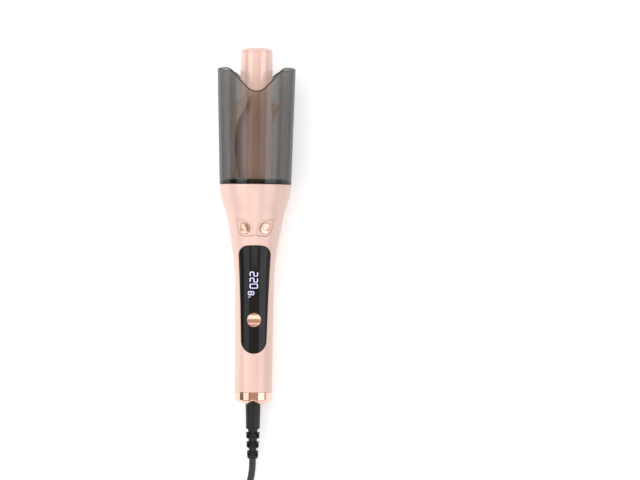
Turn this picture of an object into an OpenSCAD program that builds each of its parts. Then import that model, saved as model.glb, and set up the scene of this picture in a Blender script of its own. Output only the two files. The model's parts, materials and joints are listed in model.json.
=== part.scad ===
// Automatic hair curler, lying on its back on a table with its display upwards.
// The tool is drawn upright about its own axis (tail at z = 0, tip at +Z, display towards -Y)
// and lay_down() puts it in the part's frame: +Z up, tip towards +X, resting on z = 0.

/* [Barrel and rotor] */
// Diameter of the heated barrel
barrel_d = 28; // [27.5:0.1:28.5]
// Height of the barrel's top edge above the tail
barrel_top = 304.7; // [302:0.1:312]
// Outside diameter of the rotor that winds the hair
rotor_d = 42; // [41.5:0.1:42.3]
// Wall of the rotor
rotor_wall = 1.8; // [1.6:0.1:2]

/* [Guard] */
// Diameter of the smoked guard at its base
guard_base_d = 62.7; // [62:0.1:64]
// Diameter of the smoked guard at its open end
guard_top_d = 68.3; // [66:0.1:72]
// Length of the guard
guard_len = 101.5; // [96:0.5:106]
// Wall of the guard
guard_wall = 2; // [1.6:0.1:2.2]
// Height of the front valley's lowest point above the guard's base
valley_z = 80.7; // [76:0.1:86]
// Height of the rear slot's lowest point above the guard's base
slot_z = 23; // [20:0.5:30]
// Width of the rear slot at its closed end
slot_w = 16.4; // [14:0.1:18]

/* [Handle] */
// Diameter of the handle at the end collar
tail_d = 32.9; // [32.5:0.1:33.3]
// Wall of the handle shells
shell_wall = 2.2; // [2:0.1:2.4]
// Height of the crease between the neck and the head's bowl
crease_z = 164.5; // [163:0.5:166]

/* [Display and buttons] */
// Height of the display window's bottom edge
window_z = 41.3; // [40:0.1:44]
// Height of the display window's top edge
window_top = 135.2; // [133:0.1:137]
// Diameter of the round power button
power_d = 12.1; // [11.6:0.1:12.2]
// Height of the power button's centre
power_z = 70.6; // [69:0.1:72]
// Diameter of the two curl buttons
curl_d = 9.7; // [9.4:0.1:9.8]
// Distance between the centres of the two curl buttons
curl_pitch = 18.3; // [18:0.1:19]
// Height of the curl buttons' centres
curl_z = 150.2; // [149.5:0.1:151]

/* [Cord] */
// Diameter of the mains cord
cord_d = 6; // [5.6:0.1:6]
// Length of the cord's strain relief below the collar
boot_len = 47.7; // [44:0.1:50]

/* [Hidden] */
$fn = 64;
eps = 0.01;

// Colours
rose = [0.92, 0.76, 0.73];
rose_metal = [0.86, 0.62, 0.52];
rose_barrel = [0.95, 0.80, 0.75];
smoke = [0.33, 0.35, 0.35, 0.55];
black = [0.07, 0.07, 0.08];
dark_grey = [0.2, 0.2, 0.21];
ivory = [0.9, 0.88, 0.8];
steel = [0.75, 0.76, 0.78];
brass = [0.83, 0.68, 0.36];
board_green = [0.1, 0.36, 0.2];
copper = [0.8, 0.45, 0.25];
aluminium = [0.8, 0.81, 0.83];
red = [0.75, 0.12, 0.1];

// Heights along the tool's axis
collar_top = 7.35;
head_z = 188.5;
guard_top = head_z + guard_len;
deck_z = head_z - 3;
flange_top = head_z + 2.2;
floor_top = flange_top + 2.3;
rotor_z = floor_top + 0.4;
rotor_len = 72.6;
gear_z = 176.4;
gear_top = 184.6;
mount_top = 192;
mount_bottom = 184.9;
plate_z = 171.5;
plate_top = 174;
socket_z = 5.4;
boot_top = 5.2;
collar_z = -3.3;
boot_end = collar_z - boot_len;

// Radii
barrel_r = barrel_d / 2;
barrel_bore = barrel_r - 1.5;
rotor_r = rotor_d / 2;
rotor_in = rotor_r - rotor_wall;
journal_r = 16.45;
journal_gap = 0.05;
hub_r = 18.8;
guard_r = guard_base_d / 2;
guard_top_r = guard_top_d / 2;
tail_r = tail_d / 2;
floor_screw_r = 27.2;
floor_screws_at = [45, 135, 225, 315];

// The internal ring gear and its pinion
gear_mod = 0.8;
ring_teeth = 48;
pinion_teeth = 14;
ring_pitch = gear_mod * ring_teeth / 2;
pinion_pitch = gear_mod * pinion_teeth / 2;
pinion_y = ring_pitch - pinion_pitch;
shaft_r = 1.5;

// The tool lies on its collar's edge and on the base of its guard
collar_edge = 0.7;
tilt = atan((guard_r - tail_r) / (head_z - collar_edge));
rest_h = tail_r * cos(tilt) - collar_edge * sin(tilt);
mid_x = 128.2;

// Outside radius of the grip and its neck at height z
function grip_r(z) = tail_r - 0.05 + 0.0078 * z + 0.0292 * pow(max(0, z - 108), 1.4);
// Outside radius of the whole handle at height z, with the bowl of the head above the crease
function body_r(z) = z <= crease_z
  ? grip_r(z)
  : grip_r(crease_z) + (guard_r - grip_r(crease_z)) * sin(90 * (z - crease_z) / (head_z - crease_z));
// Outside radius of the guard at height z
function guard_at(z) = guard_r + (guard_top_r - guard_r) * (z - head_z) / guard_len;

module lay_down() {
  translate([-mid_x, 0, rest_h]) rotate([0, -tilt, 0]) rotate([0, 90, 0]) rotate([0, 0, -90]) children();
}

module tube(r_out, r_in, z0, z1) {
  translate([0, 0, z0]) difference() {
    cylinder(r = r_out, h = z1 - z0);
    translate([0, 0, -1]) cylinder(r = r_in, h = z1 - z0 + 2);
  }
}

module rod(r, z0, z1) {
  translate([0, 0, z0]) cylinder(r = r, h = z1 - z0);
}

// Extrudes an outline drawn in (x, height) through the front or the rear half of the tool
module through_front(depth = 45) {
  rotate([90, 0, 0]) linear_extrude(depth) children();
}

module through_rear(depth = 45) {
  translate([0, depth, 0]) rotate([90, 0, 0]) linear_extrude(depth) children();
}

// The solid of revolution between two heights of the handle, drawn in by inset
module body_solid(inset, z0, z1, steps = 30) {
  heights = [for (i = [0:steps]) z0 + (z1 - z0) * i / steps];
  rotate_extrude($fn = 96)
    polygon(concat([[0, z1], [0, z0]], [for (z = heights) [body_r(z) - inset, z]]));
}

// ---------------------------------------------------------------- guard and chamber

flank = 47;
valley_round = 11;
lobe_round = 9.75;
slot_mouth = 10;
slot_lobe_round = 17;

// Points along an arc about a centre, from angle a0 to angle a1
function arc(centre, r, a0, a1, steps = 12) =
  [for (i = [0:steps]) let (a = a0 + (a1 - a0) * i / steps) centre + r * [cos(a), sin(a)]];

// The shallow front valley between the guard's two lobes
module valley_outline() {
  bottom = [valley_round * sin(flank), head_z + valley_z + valley_round * (1 - cos(flank))];
  top_z = guard_top - lobe_round * (1 - cos(flank));
  lobe_x = bottom[0] + (top_z - bottom[1]) / tan(flank) + lobe_round * sin(flank);
  polygon(concat(
    [[-lobe_x, guard_top + 8], [lobe_x, guard_top + 8]],
    arc([lobe_x, guard_top - lobe_round], lobe_round, 90, 90 + flank, 6),
    arc([0, head_z + valley_z + valley_round], valley_round, flank - 90, -90 - flank),
    arc([-lobe_x, guard_top - lobe_round], lobe_round, 90 - flank, 90, 6)
  ));
}

// The deep rear slot with its round end and flared mouth
module slot_outline() {
  end_r = slot_w / 2;
  high = guard_top - slot_lobe_round;
  wide = slot_mouth + slot_lobe_round;
  polygon(concat(
    [[-wide, guard_top + 8], [wide, guard_top + 8]],
    arc([wide, high], slot_lobe_round, 90, 180, 10),
    arc([0, head_z + slot_z + end_r], end_r, 0, -180, 16),
    arc([-wide, high], slot_lobe_round, 0, 90, 10)
  ));
}

module floor_screw_holes(r, z0, z1) {
  for (a = floor_screws_at) rotate([0, 0, a]) translate([floor_screw_r, 0, 0]) rod(r, z0, z1);
}

flange_in = 25.6;

module smoked_guard() {
  color(smoke) difference() {
    rotate_extrude($fn = 128) polygon([
      [flange_in, head_z], [guard_r, head_z], [guard_top_r, guard_top], [guard_top_r - guard_wall, guard_top],
      [guard_at(flange_top) - guard_wall, flange_top], [flange_in, flange_top]
    ]);
    through_front() valley_outline();
    through_rear() slot_outline();
    floor_screw_holes(1.3, head_z - 1, flange_top + 1);
  }
}

module chamber_floor() {
  color(dark_grey) difference() {
    tube(guard_at(flange_top) - guard_wall - 0.1, rotor_r + 0.4, flange_top, floor_top);
    floor_screw_holes(1.3, flange_top - 1, floor_top + 1);
    floor_screw_holes(2.2, floor_top - 0.9, floor_top + 1);
  }
}

module floor_screws() {
  color(steel) floor_screw_holes(1.2, deck_z + 0.2, floor_top - 0.9);
  color(steel) floor_screw_holes(2.1, floor_top - 0.9, floor_top - 0.1);
}

// ---------------------------------------------------------------- barrel and heater

barrel_z = 186.5;
cap_foot = barrel_top - 5.7;
cap_seat = barrel_top - 1.7;
anchor_z = barrel_top - 11.2;

module heating_barrel() {
  color(rose_barrel) tube(barrel_r, barrel_bore, barrel_z, barrel_top);
}

module tip_cap() {
  color(rose_barrel) difference() {
    rotate_extrude() polygon([
      [1.6, cap_foot], [barrel_bore, cap_foot], [barrel_bore, barrel_top], [barrel_r, barrel_top],
      [13.7, barrel_top + 1.2], [12.6, barrel_top + 2.1], [10.5, barrel_top + 2.8],
      [7.5, barrel_top + 3.2], [4, barrel_top + 3.3], [4, cap_seat], [1.6, cap_seat]
    ]);
    for (a = [0:60:300]) rotate([0, 0, a])
      translate([5.4, -0.2, barrel_top + 2.7]) cube([6.4, 0.4, 2]);
  }
}

module tip_screw() {
  color(steel) {
    rod(1.5, anchor_z, cap_seat);
    difference() {
      rod(2.8, cap_seat, cap_seat + 2);
      for (a = [0, 90]) rotate([0, 0, a]) translate([-1.9, -0.35, cap_seat + 1.2]) cube([3.8, 0.7, 2]);
    }
  }
}

module cap_anchor() {
  color(steel) tube(barrel_bore, 1.5, anchor_z, anchor_z + 2.5);
}

clamp_z = 200;
clamp_top = 290;
clamp_gap = 5;
probe_y = 7;

module heater_clamps() {
  color(aluminium) for (side = [-1, 1]) difference() {
    rod(barrel_bore, clamp_z, clamp_top);
    translate([-20, side > 0 ? -20 : -clamp_gap / 2, clamp_z - 1])
      cube([40, 20 + clamp_gap / 2, clamp_top - clamp_z + 2]);
    translate([0, side * probe_y, 0]) rod(2.2, clamp_z - 1, clamp_top + 1);
  }
}

module ptc_element() {
  color(dark_grey) translate([-7.5, -clamp_gap / 2, 210]) cube([15, clamp_gap, 70]);
}

module thermal_fuse() {
  color(steel) translate([0, probe_y, 0]) {
    rod(2, 230, 241);
    rod(0.5, 224, 230);
    rod(0.5, 241, 247);
  }
}

module thermistor() {
  color(ivory) translate([0, -probe_y, 0]) {
    rod(1.8, 236, 240);
    rod(0.6, 204, 236);
  }
}

lead_at = 1.6;

module heater_leads() {
  color(ivory) for (x = [-lead_at, lead_at], y = [-lead_at, lead_at])
    translate([x, y, 0]) rod(0.8, 116, 210);
}

// ---------------------------------------------------------------- barrel mount and drive

mount_screw_r = 8;

module barrel_mount() {
  color(ivory) difference() {
    union() {
      rod(journal_r, mount_bottom, mount_top);
      rod(6.2, plate_top, mount_bottom + 1);
      rod(10.5, plate_top, plate_top + 1.8);
    }
    rod(barrel_r, barrel_z, mount_top + 1);
    rod(4.2, plate_top - 1, mount_top);
    for (side = [-1, 1]) translate([side * mount_screw_r, 0, 0]) rod(1, plate_top - 1, plate_top + 3);
  }
}

module mount_screws() {
  color(steel) for (side = [-1, 1]) translate([side * mount_screw_r, 0, 0]) {
    rod(1, plate_z - 0.5, plate_top + 1.8);
    rod(1.7, plate_top + 1.8, plate_top + 3);
  }
}

module motor_plate() {
  color(dark_grey) difference() {
    rod(24.6, plate_z, plate_top);
    rod(4.4, plate_z - 1, plate_top + 1);
    translate([0, pinion_y, 0]) rod(2.6, plate_z - 1, plate_top + 1);
    for (side = [-1, 1]) translate([side * mount_screw_r, 0, 0]) rod(1, plate_z - 1, plate_top + 1);
  }
}

box_w = 12;
box_t = 10;

module gearbox() {
  color(brass) difference() {
    translate([-box_w / 2, pinion_y - box_t / 2, plate_z - 9]) cube([box_w, box_t, 9]);
    translate([0, pinion_y, 0]) rod(shaft_r + 0.05, plate_z - 5, plate_z + 1);
  }
}

module motor() {
  color(steel) translate([0, pinion_y, 0]) {
    intersection() {
      rod(box_w / 2, plate_z - 24, plate_z - 9);
      translate([-box_w / 2, -box_t / 2, plate_z - 25]) cube([box_w, box_t, 16]);
    }
    rod(2.5, plate_z - 25, plate_z - 24);
  }
}

module motor_leads() {
  color(red) for (side = [-1, 1]) translate([side * 3.6, pinion_y, 0]) rod(0.6, 122, plate_z - 24);
}

module home_sensor() {
  color(board_green) translate([-5, -22.6, plate_top]) cube([10, 7, 1.2]);
  color(black) translate([-2, -21, plate_top + 1.2]) cube([4, 2.4, 0.9]);
}

// Half width of a tooth as an angle at radius r
function tooth_angle(width, r) = atan(width / 2 / r);

// A gear outline from its tooth widths at root, pitch and tip
module gear_outline(teeth, radii, widths) {
  polygon([
    for (i = [0:teeth - 1], k = [-3, -2, -1, 1, 2, 3])
      let (j = 3 - abs(k), a = 90 + 360 * i / teeth + sign(k) * tooth_angle(widths[j], radii[j]))
        radii[j] * [cos(a), sin(a)]
  ]);
}

module rotor_gear() {
  pitch_arc = PI * gear_mod;
  color(ivory) difference() {
    rod(22.4, gear_z, gear_top);
    rod(15, gear_top - 3, gear_top + 1);
    translate([0, 0, gear_z - 1]) linear_extrude(gear_top - gear_z - 0.4)
      gear_outline(
        ring_teeth, [ring_pitch - 0.7, ring_pitch, ring_pitch + 0.95],
        [0.76 * pitch_arc, 0.58 * pitch_arc, 0.4 * pitch_arc]
      );
    translate([0, -21.2, 0]) rod(1, gear_z - 1, gear_z + 2);
  }
}

module home_magnet() {
  color(steel) translate([0, -21.2, 0]) rod(1, gear_z, gear_z + 2);
}

module drive_pinion() {
  pitch_arc = PI * gear_mod;
  color(brass) difference() {
    translate([0, pinion_y, gear_z + 0.4]) linear_extrude(5.8)
      gear_outline(
        pinion_teeth, [pinion_pitch - 0.95, pinion_pitch, pinion_pitch + 0.7],
        [0.58 * pitch_arc, 0.42 * pitch_arc, 0.24 * pitch_arc]
      );
    translate([0, pinion_y, 0]) rod(shaft_r, gear_z, gear_top);
  }
}

module motor_shaft() {
  color(steel) translate([0, pinion_y, 0]) rod(shaft_r, plate_z - 4.8, gear_z + 6.2);
}

// The points of a smooth curve through the given points
function curve_point(p, i, u) =
  let (
    n = len(p) - 1,
    a = p[max(i - 1, 0)], b = p[i], c = p[i + 1], d = p[min(i + 2, n)]
  ) 0.5 * (2 * b + (c - a) * u + (2 * a - 5 * b + 4 * c - d) * u * u + (3 * b - a - 3 * c + d) * u * u * u);
function curve(p, steps = 4) = concat(
  [for (i = [0:len(p) - 2], k = [0:steps - 1]) curve_point(p, i, k / steps)], [p[len(p) - 1]]
);

// The rotor's horned rim and the edges of its open side, as sideways place and height above its base
front_edge = [[-16.1, -1], [-18.4, 16.6], [-19.2, 31], [-17.6, 47], [-11.1, 60], [-6.6, 70.5]];
front_rim = [[-6.2, 71.8], [-7, 72.4], [-10, 71], [-14.6, 68.6], [-21.5, 65]];
rear_edge = [[10.5, -1], [10.5, 36], [11.6, 44], [16.6, 51.5], [20.2, 60], [21.6, 69]];
rear_rim = [[14, 67.2], [0, 65.2], [-14, 64.8], [-21.5, 65]];

module rotor() {
  color(rose) {
    difference() {
      tube(rotor_r, rotor_in, rotor_z - eps, rotor_z + rotor_len + 1);
      translate([0, 0, rotor_z]) through_front() difference() {
        translate([-30, -1]) square([60, 90]);
        polygon(concat([[-30, -1]], curve(front_edge), curve(front_rim), [[-30, 65]]));
      }
      translate([0, 0, rotor_z]) through_rear() difference() {
        translate([-30, -1]) square([60, 90]);
        polygon(concat([[-30, -1]], curve(rear_edge), curve(rear_rim), [[-30, 65]]));
      }
    }
    tube(rotor_r, 15.2, mount_top + 0.3, rotor_z);
    tube(hub_r, journal_r + journal_gap, gear_top, mount_top + 0.3 + eps);
  }
}

// ---------------------------------------------------------------- handle shells

seam_drop = 11;
cavity_z = 25;
rib_r = 22;

// The parting line: flat along the grip, slanting forwards across the head's bowl
module front_side() {
  rotate([90, 0, 90]) translate([0, 0, -50]) linear_extrude(100)
    polygon([[-60, -20], [0, -20], [0, crease_z], [-seam_drop, head_z + 0.5], [-60, head_z + 0.5]]);
}

module shell_body() {
  difference() {
    body_solid(0, collar_top, head_z);
    rod(14.2, collar_top - 1, cavity_z + 1);
    difference() {
      body_solid(shell_wall, cavity_z, deck_z);
      tube(40, rib_r, plate_z - 1.6, plate_z);
      tube(40, 23.6, plate_top, plate_top + 1.4);
      tube(40, 11, cavity_z + 1, cavity_z + 2.6);
    }
    rod(19.4, deck_z - 1, head_z + 1);
    floor_screw_holes(1.2, deck_z - 1, head_z + 1);
    for (side = [-1, 1]) translate([side * lead_r, 0, 0]) rod(1, 20, 30);
  }
}

// The window's outline: a long panel with wide round corners above and a round end below
module window_outline() {
  end_r = 11.2;
  corner = 8;
  top_half = 14.05;
  polygon(concat(
    arc([0, window_z + end_r], end_r, 180, 360, 16),
    [[12.2, 86.6]],
    arc([top_half - corner, window_top - corner], corner, 0, 90, 8),
    [[0, window_top + 0.3]],
    arc([corner - top_half, window_top - corner], corner, 90, 180, 8),
    [[-12.2, 86.6]]
  ));
}

window_t = 1.4;
window_span = [20, 150];
board_y = -7;
board_t = 1.6;
board_face = board_t - board_y;

// Turns something drawn about the +Z axis so that it points out of the neck at a curl button
module at_curl_button(side) {
  slope = atan((grip_r(curl_z + 1) - grip_r(curl_z - 1)) / 2);
  yaw = asin(curl_pitch / 2 / grip_r(curl_z));
  rotate([0, 0, side * yaw])
    translate([0, -grip_r(curl_z), curl_z]) rotate([90 + slope, 0, 0]) children();
}

module at_power_button() {
  translate([0, -grip_r(power_z), power_z]) rotate([90, 0, 0]) children();
}

// A leaf with one long point outwards and one short point inwards
module leaf_outline(side) {
  r = 7.1;
  points = concat([[9, 7.9]], arc([0, 0], r, 95, 175, 8), [[-7.9, -6.5]], arc([0, 0], r, 275, 355, 8));
  polygon([for (p = points) [side * p[0], p[1]]]);
}

bezel_top = 0.6;
bezel_t = 1.2;
bezel_span = [130, 175];
// The curl buttons: their holes, the wider foot that holds each one in, and the tube round it
curl_hole_r = curl_d / 2 + 0.1;
curl_foot_r = 5.5;
curl_well_r = 5.8;
curl_well_top = -2.8;
curl_tube_r = 6.6;
curl_tube_depth = 6.4;
// The power button's foot and the tube round it
power_foot_r = 6.9;
power_foot_top = -3.2;
power_foot_end = -3.9;
power_well_r = 7.2;
power_tube_r = 8.4;

module leaf_cut(side) {
  at_curl_button(side) translate([0, 0, -9]) linear_extrude(17) leaf_outline(side);
}

module front_shell() {
  color(rose) difference() {
    union() {
      intersection() {
        shell_body();
        front_side();
      }
      intersection() {
        union() {
          for (side = [-1, 1]) at_curl_button(side) {
            tube(curl_tube_r, curl_well_r, -curl_tube_depth, curl_well_top);
            tube(curl_tube_r, curl_hole_r, curl_well_top - 0.2, -1);
          }
          at_power_button() tube(power_tube_r, power_well_r, board_face - grip_r(power_z), -2);
        }
        body_solid(1, cavity_z, deck_z);
      }
      screw_posts();
    }
    window_pocket();
    for (side = [-1, 1]) bezel_pocket(side);
    for (side = [-1, 1]) at_curl_button(side) {
      rod(curl_hole_r, -5, 5);
      rod(curl_well_r, -curl_tube_depth - 1, curl_well_top);
    }
    at_power_button() rod(power_well_r, -9, 4);
    translate([-7, -20, 86]) cube([14, 20, 32]);
  }
}

module window_pocket() {
  difference() {
    through_front(60) window_outline();
    body_solid(window_t, window_span[0], window_span[1]);
  }
}

module bezel_pocket(side) {
  difference() {
    leaf_cut(side);
    body_solid(bezel_top + bezel_t, bezel_span[0], bezel_span[1]);
  }
}

module rear_shell() {
  color(rose) difference() {
    union() {
      difference() {
        shell_body();
        front_side();
      }
      for (p = shell_screws_at) rear_post(p);
    }
    for (p = shell_screws_at) {
      translate([p[0], 1, p[1]]) rotate([-90, 0, 0]) rod(1.5, 0, 30);
      translate([p[0], screw_depth(p) - 6, p[1]]) rotate([-90, 0, 0]) rod(2.8, 0, 10);
    }
  }
}

// Each shell screw's place as [sideways, height]
shell_screws_at = [[0, 34], [-9.5, 130], [9.5, 130]];
post_r = 3.4;

// Depth behind the tool's axis of the rear shell's outside at a shell screw
function screw_depth(p) = sqrt(pow(grip_r(p[1]), 2) - p[0] * p[0]);

// The front shell's posts, which take the screws
module screw_posts() {
  for (p = shell_screws_at) difference() {
    intersection() {
      translate([p[0], 2, p[1]]) rotate([90, 0, 0]) rod(post_r, 0, 30);
      body_solid(1.6, cavity_z, deck_z);
    }
    translate([p[0], 3, p[1]]) rotate([90, 0, 0]) rod(1.1, 0, 11);
  }
}

module rear_post(p) {
  intersection() {
    translate([p[0], 2, p[1]]) rotate([-90, 0, 0]) rod(post_r, 0, 30);
    body_solid(1, cavity_z, deck_z);
  }
}

module shell_screws() {
  color(steel) for (p = shell_screws_at) translate([p[0], 0, p[1]]) {
    translate([0, -7, 0]) rotate([-90, 0, 0]) rod(1.1, 0, screw_depth(p) + 1);
    translate([0, screw_depth(p) - 6, 0]) rotate([-90, 0, 0]) rod(2.5, 0, 1.8);
  }
}

// ---------------------------------------------------------------- display and buttons

module button_bezels() {
  color(rose) for (side = [-1, 1]) difference() {
    intersection() {
      leaf_cut(side);
      body_solid(bezel_top, bezel_span[0], bezel_span[1]);
    }
    body_solid(bezel_top + bezel_t, bezel_span[0], bezel_span[1]);
    at_curl_button(side) rod(curl_hole_r, -5, 5);
  }
}

module curl_button(side) {
  color(rose_metal) at_curl_button(side) {
    rod(curl_d / 2, -3.4, 0.25);
    rod(curl_foot_r, -3.4, curl_well_top);
    rod(1, -4.7, -3.4);
  }
}

module left_button() {
  curl_button(-1);
}

module right_button() {
  curl_button(1);
}

module curl_switches() {
  color(steel) for (side = [-1, 1]) at_curl_button(side) {
    translate([-2.3, -2.3, -curl_tube_depth]) cube([4.6, 4.6, 1.1]);
  }
}

module switch_boards() {
  color(board_green) for (side = [-1, 1]) at_curl_button(side)
    translate([-6, -6, -curl_tube_depth - 1]) cube([12, 12, 1]);
}

module display_window() {
  color(black) difference() {
    intersection() {
      through_front(60) window_outline();
      body_solid(0, window_span[0], window_span[1]);
    }
    body_solid(window_t, window_span[0], window_span[1]);
    at_power_button() rod(power_d / 2 + 0.2, -5, 5);
  }
}

module display_module() {
  color(black) translate([-6.5, -13.6, 88]) cube([13, 13.6 - board_face, 28]);
}

module power_button() {
  color(rose_metal) at_power_button() {
    difference() {
      rod(power_d / 2, power_foot_end, 0.5);
      translate([-10, 0, 11.6]) rotate([0, 90, 0]) rod(11.8, 0, 20);
    }
    rod(power_foot_r, power_foot_end, power_foot_top);
    rod(1.5, -4.4, power_foot_end);
  }
}

module power_switch() {
  color(steel) translate([-3, -board_face - 3.3, power_z - 3]) cube([6, 3.3, 6]);
}

module control_board() {
  color(board_green) translate([-10, -board_face, 46]) cube([20, board_t, 78]);
}

module board_chips() {
  color(black) {
    translate([-4, board_y, 60]) cube([8, 1.6, 8]);
    translate([-3, board_y, 80]) cube([6, 1.5, 5]);
    translate([-6, board_y, 100]) cube([4, 2, 10]);
    translate([3, board_y, 98]) cube([3.2, 1.2, 3.2]);
  }
}

power_y = 4;

module power_board() {
  color(board_green) translate([-11, power_y, 44]) cube([22, board_t, 72]);
}

module power_parts() {
  color([0.8, 0.65, 0.1]) translate([-7, power_y + board_t, 48]) cube([14, 6, 12]);
  color(black) translate([0, power_y + board_t, 72]) rotate([-90, 0, 0]) rod(3.4, 0, 6);
  color(aluminium) translate([-6, power_y + board_t, 84]) cube([12, 4, 14]);
  color(red) translate([-3, power_y + board_t, 104]) cube([6, 3, 5]);
}

// ---------------------------------------------------------------- tail, swivel and strain relief

bore_gap = 0.1;
boot_r = 6.55;
flange_r = 9.5;
plug_r = 8.6;
ring_z = [12, 17];
socket_top = 26;
lead_r = 13.3;

module end_collar() {
  color(rose_metal) rotate_extrude($fn = 96) polygon([
    [boot_r + bore_gap, collar_z], [8.4, collar_z], [12, -2.3], [15, -0.8], [16.1, 0],
    [tail_r, collar_edge], [tail_r, collar_top], [14.1, collar_top], [14.1, 11], [12.5, 11],
    [12.5, socket_z], [10, socket_z], [10, 2.5], [boot_r + bore_gap, 2.5]
  ]);
}

module swivel_socket() {
  color(ivory) difference() {
    rod(12.4, socket_z, socket_top);
    rod(plug_r + 0.1, socket_z - 1, 22);
    for (z = ring_z, side = [-1, 1]) spring_slot(z, side);
  }
}

module spring_slot(z, side) {
  translate([side > 0 ? 5 : -13, -1.5, z + 0.3]) cube([8, 3, 2.4]);
}

// One sprung contact for each ring, on opposite sides
module contact_springs() {
  color(brass) for (i = [0, 1]) difference() {
    intersection() {
      spring_slot(ring_z[i], 2 * i - 1);
      rod(lead_r - 0.7, 0, 30);
    }
    rod(plug_r + 0.05, 0, 30);
  }
}

module mains_leads() {
  color(copper) for (i = [0, 1]) {
    side = 2 * i - 1;
    translate([side * lead_r, 0, 0]) rod(0.7, ring_z[i] + 0.5, 30);
    hull() {
      translate([side * lead_r, 0, 30]) sphere(r = 0.7, $fn = 16);
      translate([side * 9, power_y + 0.8, 43.3]) sphere(r = 0.7, $fn = 16);
    }
  }
}

module swivel_plug() {
  color(ivory) difference() {
    rod(plug_r, boot_top, 21.6);
    for (z = ring_z) tube(plug_r + 1, plug_r - 1, z, z + 3);
  }
}

module contact_rings() {
  color(brass) for (z = ring_z) tube(plug_r, plug_r - 1, z, z + 3);
}

boot_tip_r = 4.6;
slot_pitch = 7;

module strain_relief() {
  color(black) difference() {
    rotate_extrude() polygon([
      [0, boot_end], [boot_tip_r, boot_end], [6.05, -27], [boot_r, collar_z], [boot_r, 2.7],
      [flange_r, 2.7], [flange_r, boot_top], [0, boot_top]
    ]);
    rod(cord_d / 2 + 0.2, boot_end - 1, collar_z - 1);
    for (i = [0:3], side = [-1, 1]) rotate([0, 0, 90]) boot_slot(-24 - slot_pitch * i, side);
    for (i = [0:2], side = [-1, 1]) boot_slot(-27.5 - slot_pitch * i, side);
  }
}

// A flex slot across one side of the boot
module boot_slot(z, side) {
  translate([-8, side > 0 ? 4.3 : -12.3, z - 2.4]) cube([16, 8, 2.4]);
}

// ---------------------------------------------------------------- cord, hank and plug

// The cord's free stretch from inside the boot to the hank
cord_route = [
  [-134, 0, 15.9], [-156, 0, 14.1], [-179, 0, 12.3], [-189, 0.3, 11.6], [-199, 2, 10.5], [-209, 5.4, 9],
  [-219, 10, 7.4], [-229, 15.6, 5.9], [-239, 21.4, 4.8], [-249, 26.4, 4.2], [-259, 29.6, 4], [-266, 30, 4]
];
// The cord's last stretch, from the top of the hank to the plug
tail_route = [
  [-263, 30, 10], [-271, 29.3, 10.6], [-281, 26.4, 12.4], [-291, 21.4, 14.6], [-301, 15.4, 16.6],
  [-311, 9.4, 18.2], [-321, 4.4, 19.3], [-331, 1.2, 19.8], [-341, 0, 19.9]
];
hank_x = -306;
hank_run = 90;
hank_turn_r = 33;
hank_z = 1;
hank_h = 12;
plug_z = hank_z + hank_h;
plug_x = tail_route[len(tail_route) - 1][0];

// A tube swept along a route: one ring of points square to the route at each point
module swept(route, r, sides = 10) {
  n = len(route);
  rings = [
    for (i = [0:n - 1])
      let (
        way = route[min(i + 1, n - 1)] - route[max(i - 1, 0)],
        along = way / norm(way),
        across = cross([0, 0, 1], along) / norm(cross([0, 0, 1], along)),
        up = cross(along, across)
      )
        for (k = [0:sides - 1])
          route[i] + r * (across * cos(360 * k / sides) + up * sin(360 * k / sides))
  ];
  sides_list = [
    for (i = [0:n - 2], k = [0:sides - 1])
      let (a = i * sides + k, b = i * sides + (k + 1) % sides)
        each [[a, b, b + sides], [a, b + sides, a + sides]]
  ];
  first_end = [for (k = [sides - 1:-1:0]) k];
  last_end = [for (k = [0:sides - 1]) (n - 1) * sides + k];
  polyhedron(rings, concat([first_end], sides_list, [last_end]));
}

module cord() {
  color(black) swept(cord_route, cord_d / 2);
}

module cord_tail() {
  color(black) swept(tail_route, cord_d / 2);
}

module cord_hank() {
  color(black) translate([hank_x, 0, hank_z]) linear_extrude(hank_h) {
    square([hank_run, 2 * hank_turn_r], center = true);
    for (side = [-1, 1]) translate([side * hank_run / 2, 0]) circle(r = hank_turn_r);
  }
}

tie_x = hank_x - 44;
tie_w = 12;

module cord_tie() {
  color(dark_grey) translate([tie_x, 0, 0]) rotate([90, 0, 90]) linear_extrude(tie_w) difference() {
    translate([-hank_turn_r - 1, 0]) square([2 * hank_turn_r + 2, hank_h + 2]);
    translate([-hank_turn_r, hank_z]) square([2 * hank_turn_r, hank_h]);
  }
}

plug_w = 35.3;
plug_t = 13.7;
plug_len = 35.3;
neck_len = 14;
pin_r = 2;
pin_gap = 19;
pin_len = 19;
root_r = 1.6;
root_len = 8;
plug_end = plug_x - neck_len - plug_len;

// The flat two-pin plug, lying on the hank with its pins away from the tool
module plug_body() {
  neck_z = plug_z + plug_t / 2;
  color(black) difference() {
    union() {
      translate([plug_x, 0, neck_z]) rotate([0, -90, 0]) cylinder(r1 = 4.2, r2 = 6, h = neck_len + 1);
      translate([plug_x - neck_len, 0, plug_z]) linear_extrude(plug_t) polygon([
        [0, -9], [0, 9], [-9, plug_w / 2 - 1.5], [-12, plug_w / 2], [-plug_len + 3, plug_w / 2],
        [-plug_len, plug_w / 2 - 5], [-plug_len, 5 - plug_w / 2], [3 - plug_len, -plug_w / 2],
        [-12, -plug_w / 2], [-9, 1.5 - plug_w / 2]
      ]);
    }
    at_plug_pins(root_len) cylinder(r = root_r, h = root_len + 1);
  }
}

// Each pin's place, inside the plug's end face by some depth
module at_plug_pins(depth = 0) {
  for (side = [-1, 1])
    translate([plug_end + depth, side * pin_gap / 2, plug_z + plug_t / 2]) rotate([0, -90, 0]) children();
}

// Two round pins with thinner roots, held in the plug
module plug_pins() {
  color(brass) {
    at_plug_pins() cylinder(r = pin_r, h = pin_len);
    at_plug_pins(root_len) cylinder(r = root_r, h = root_len);
  }
}

// ---------------------------------------------------------------- every node

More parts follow.
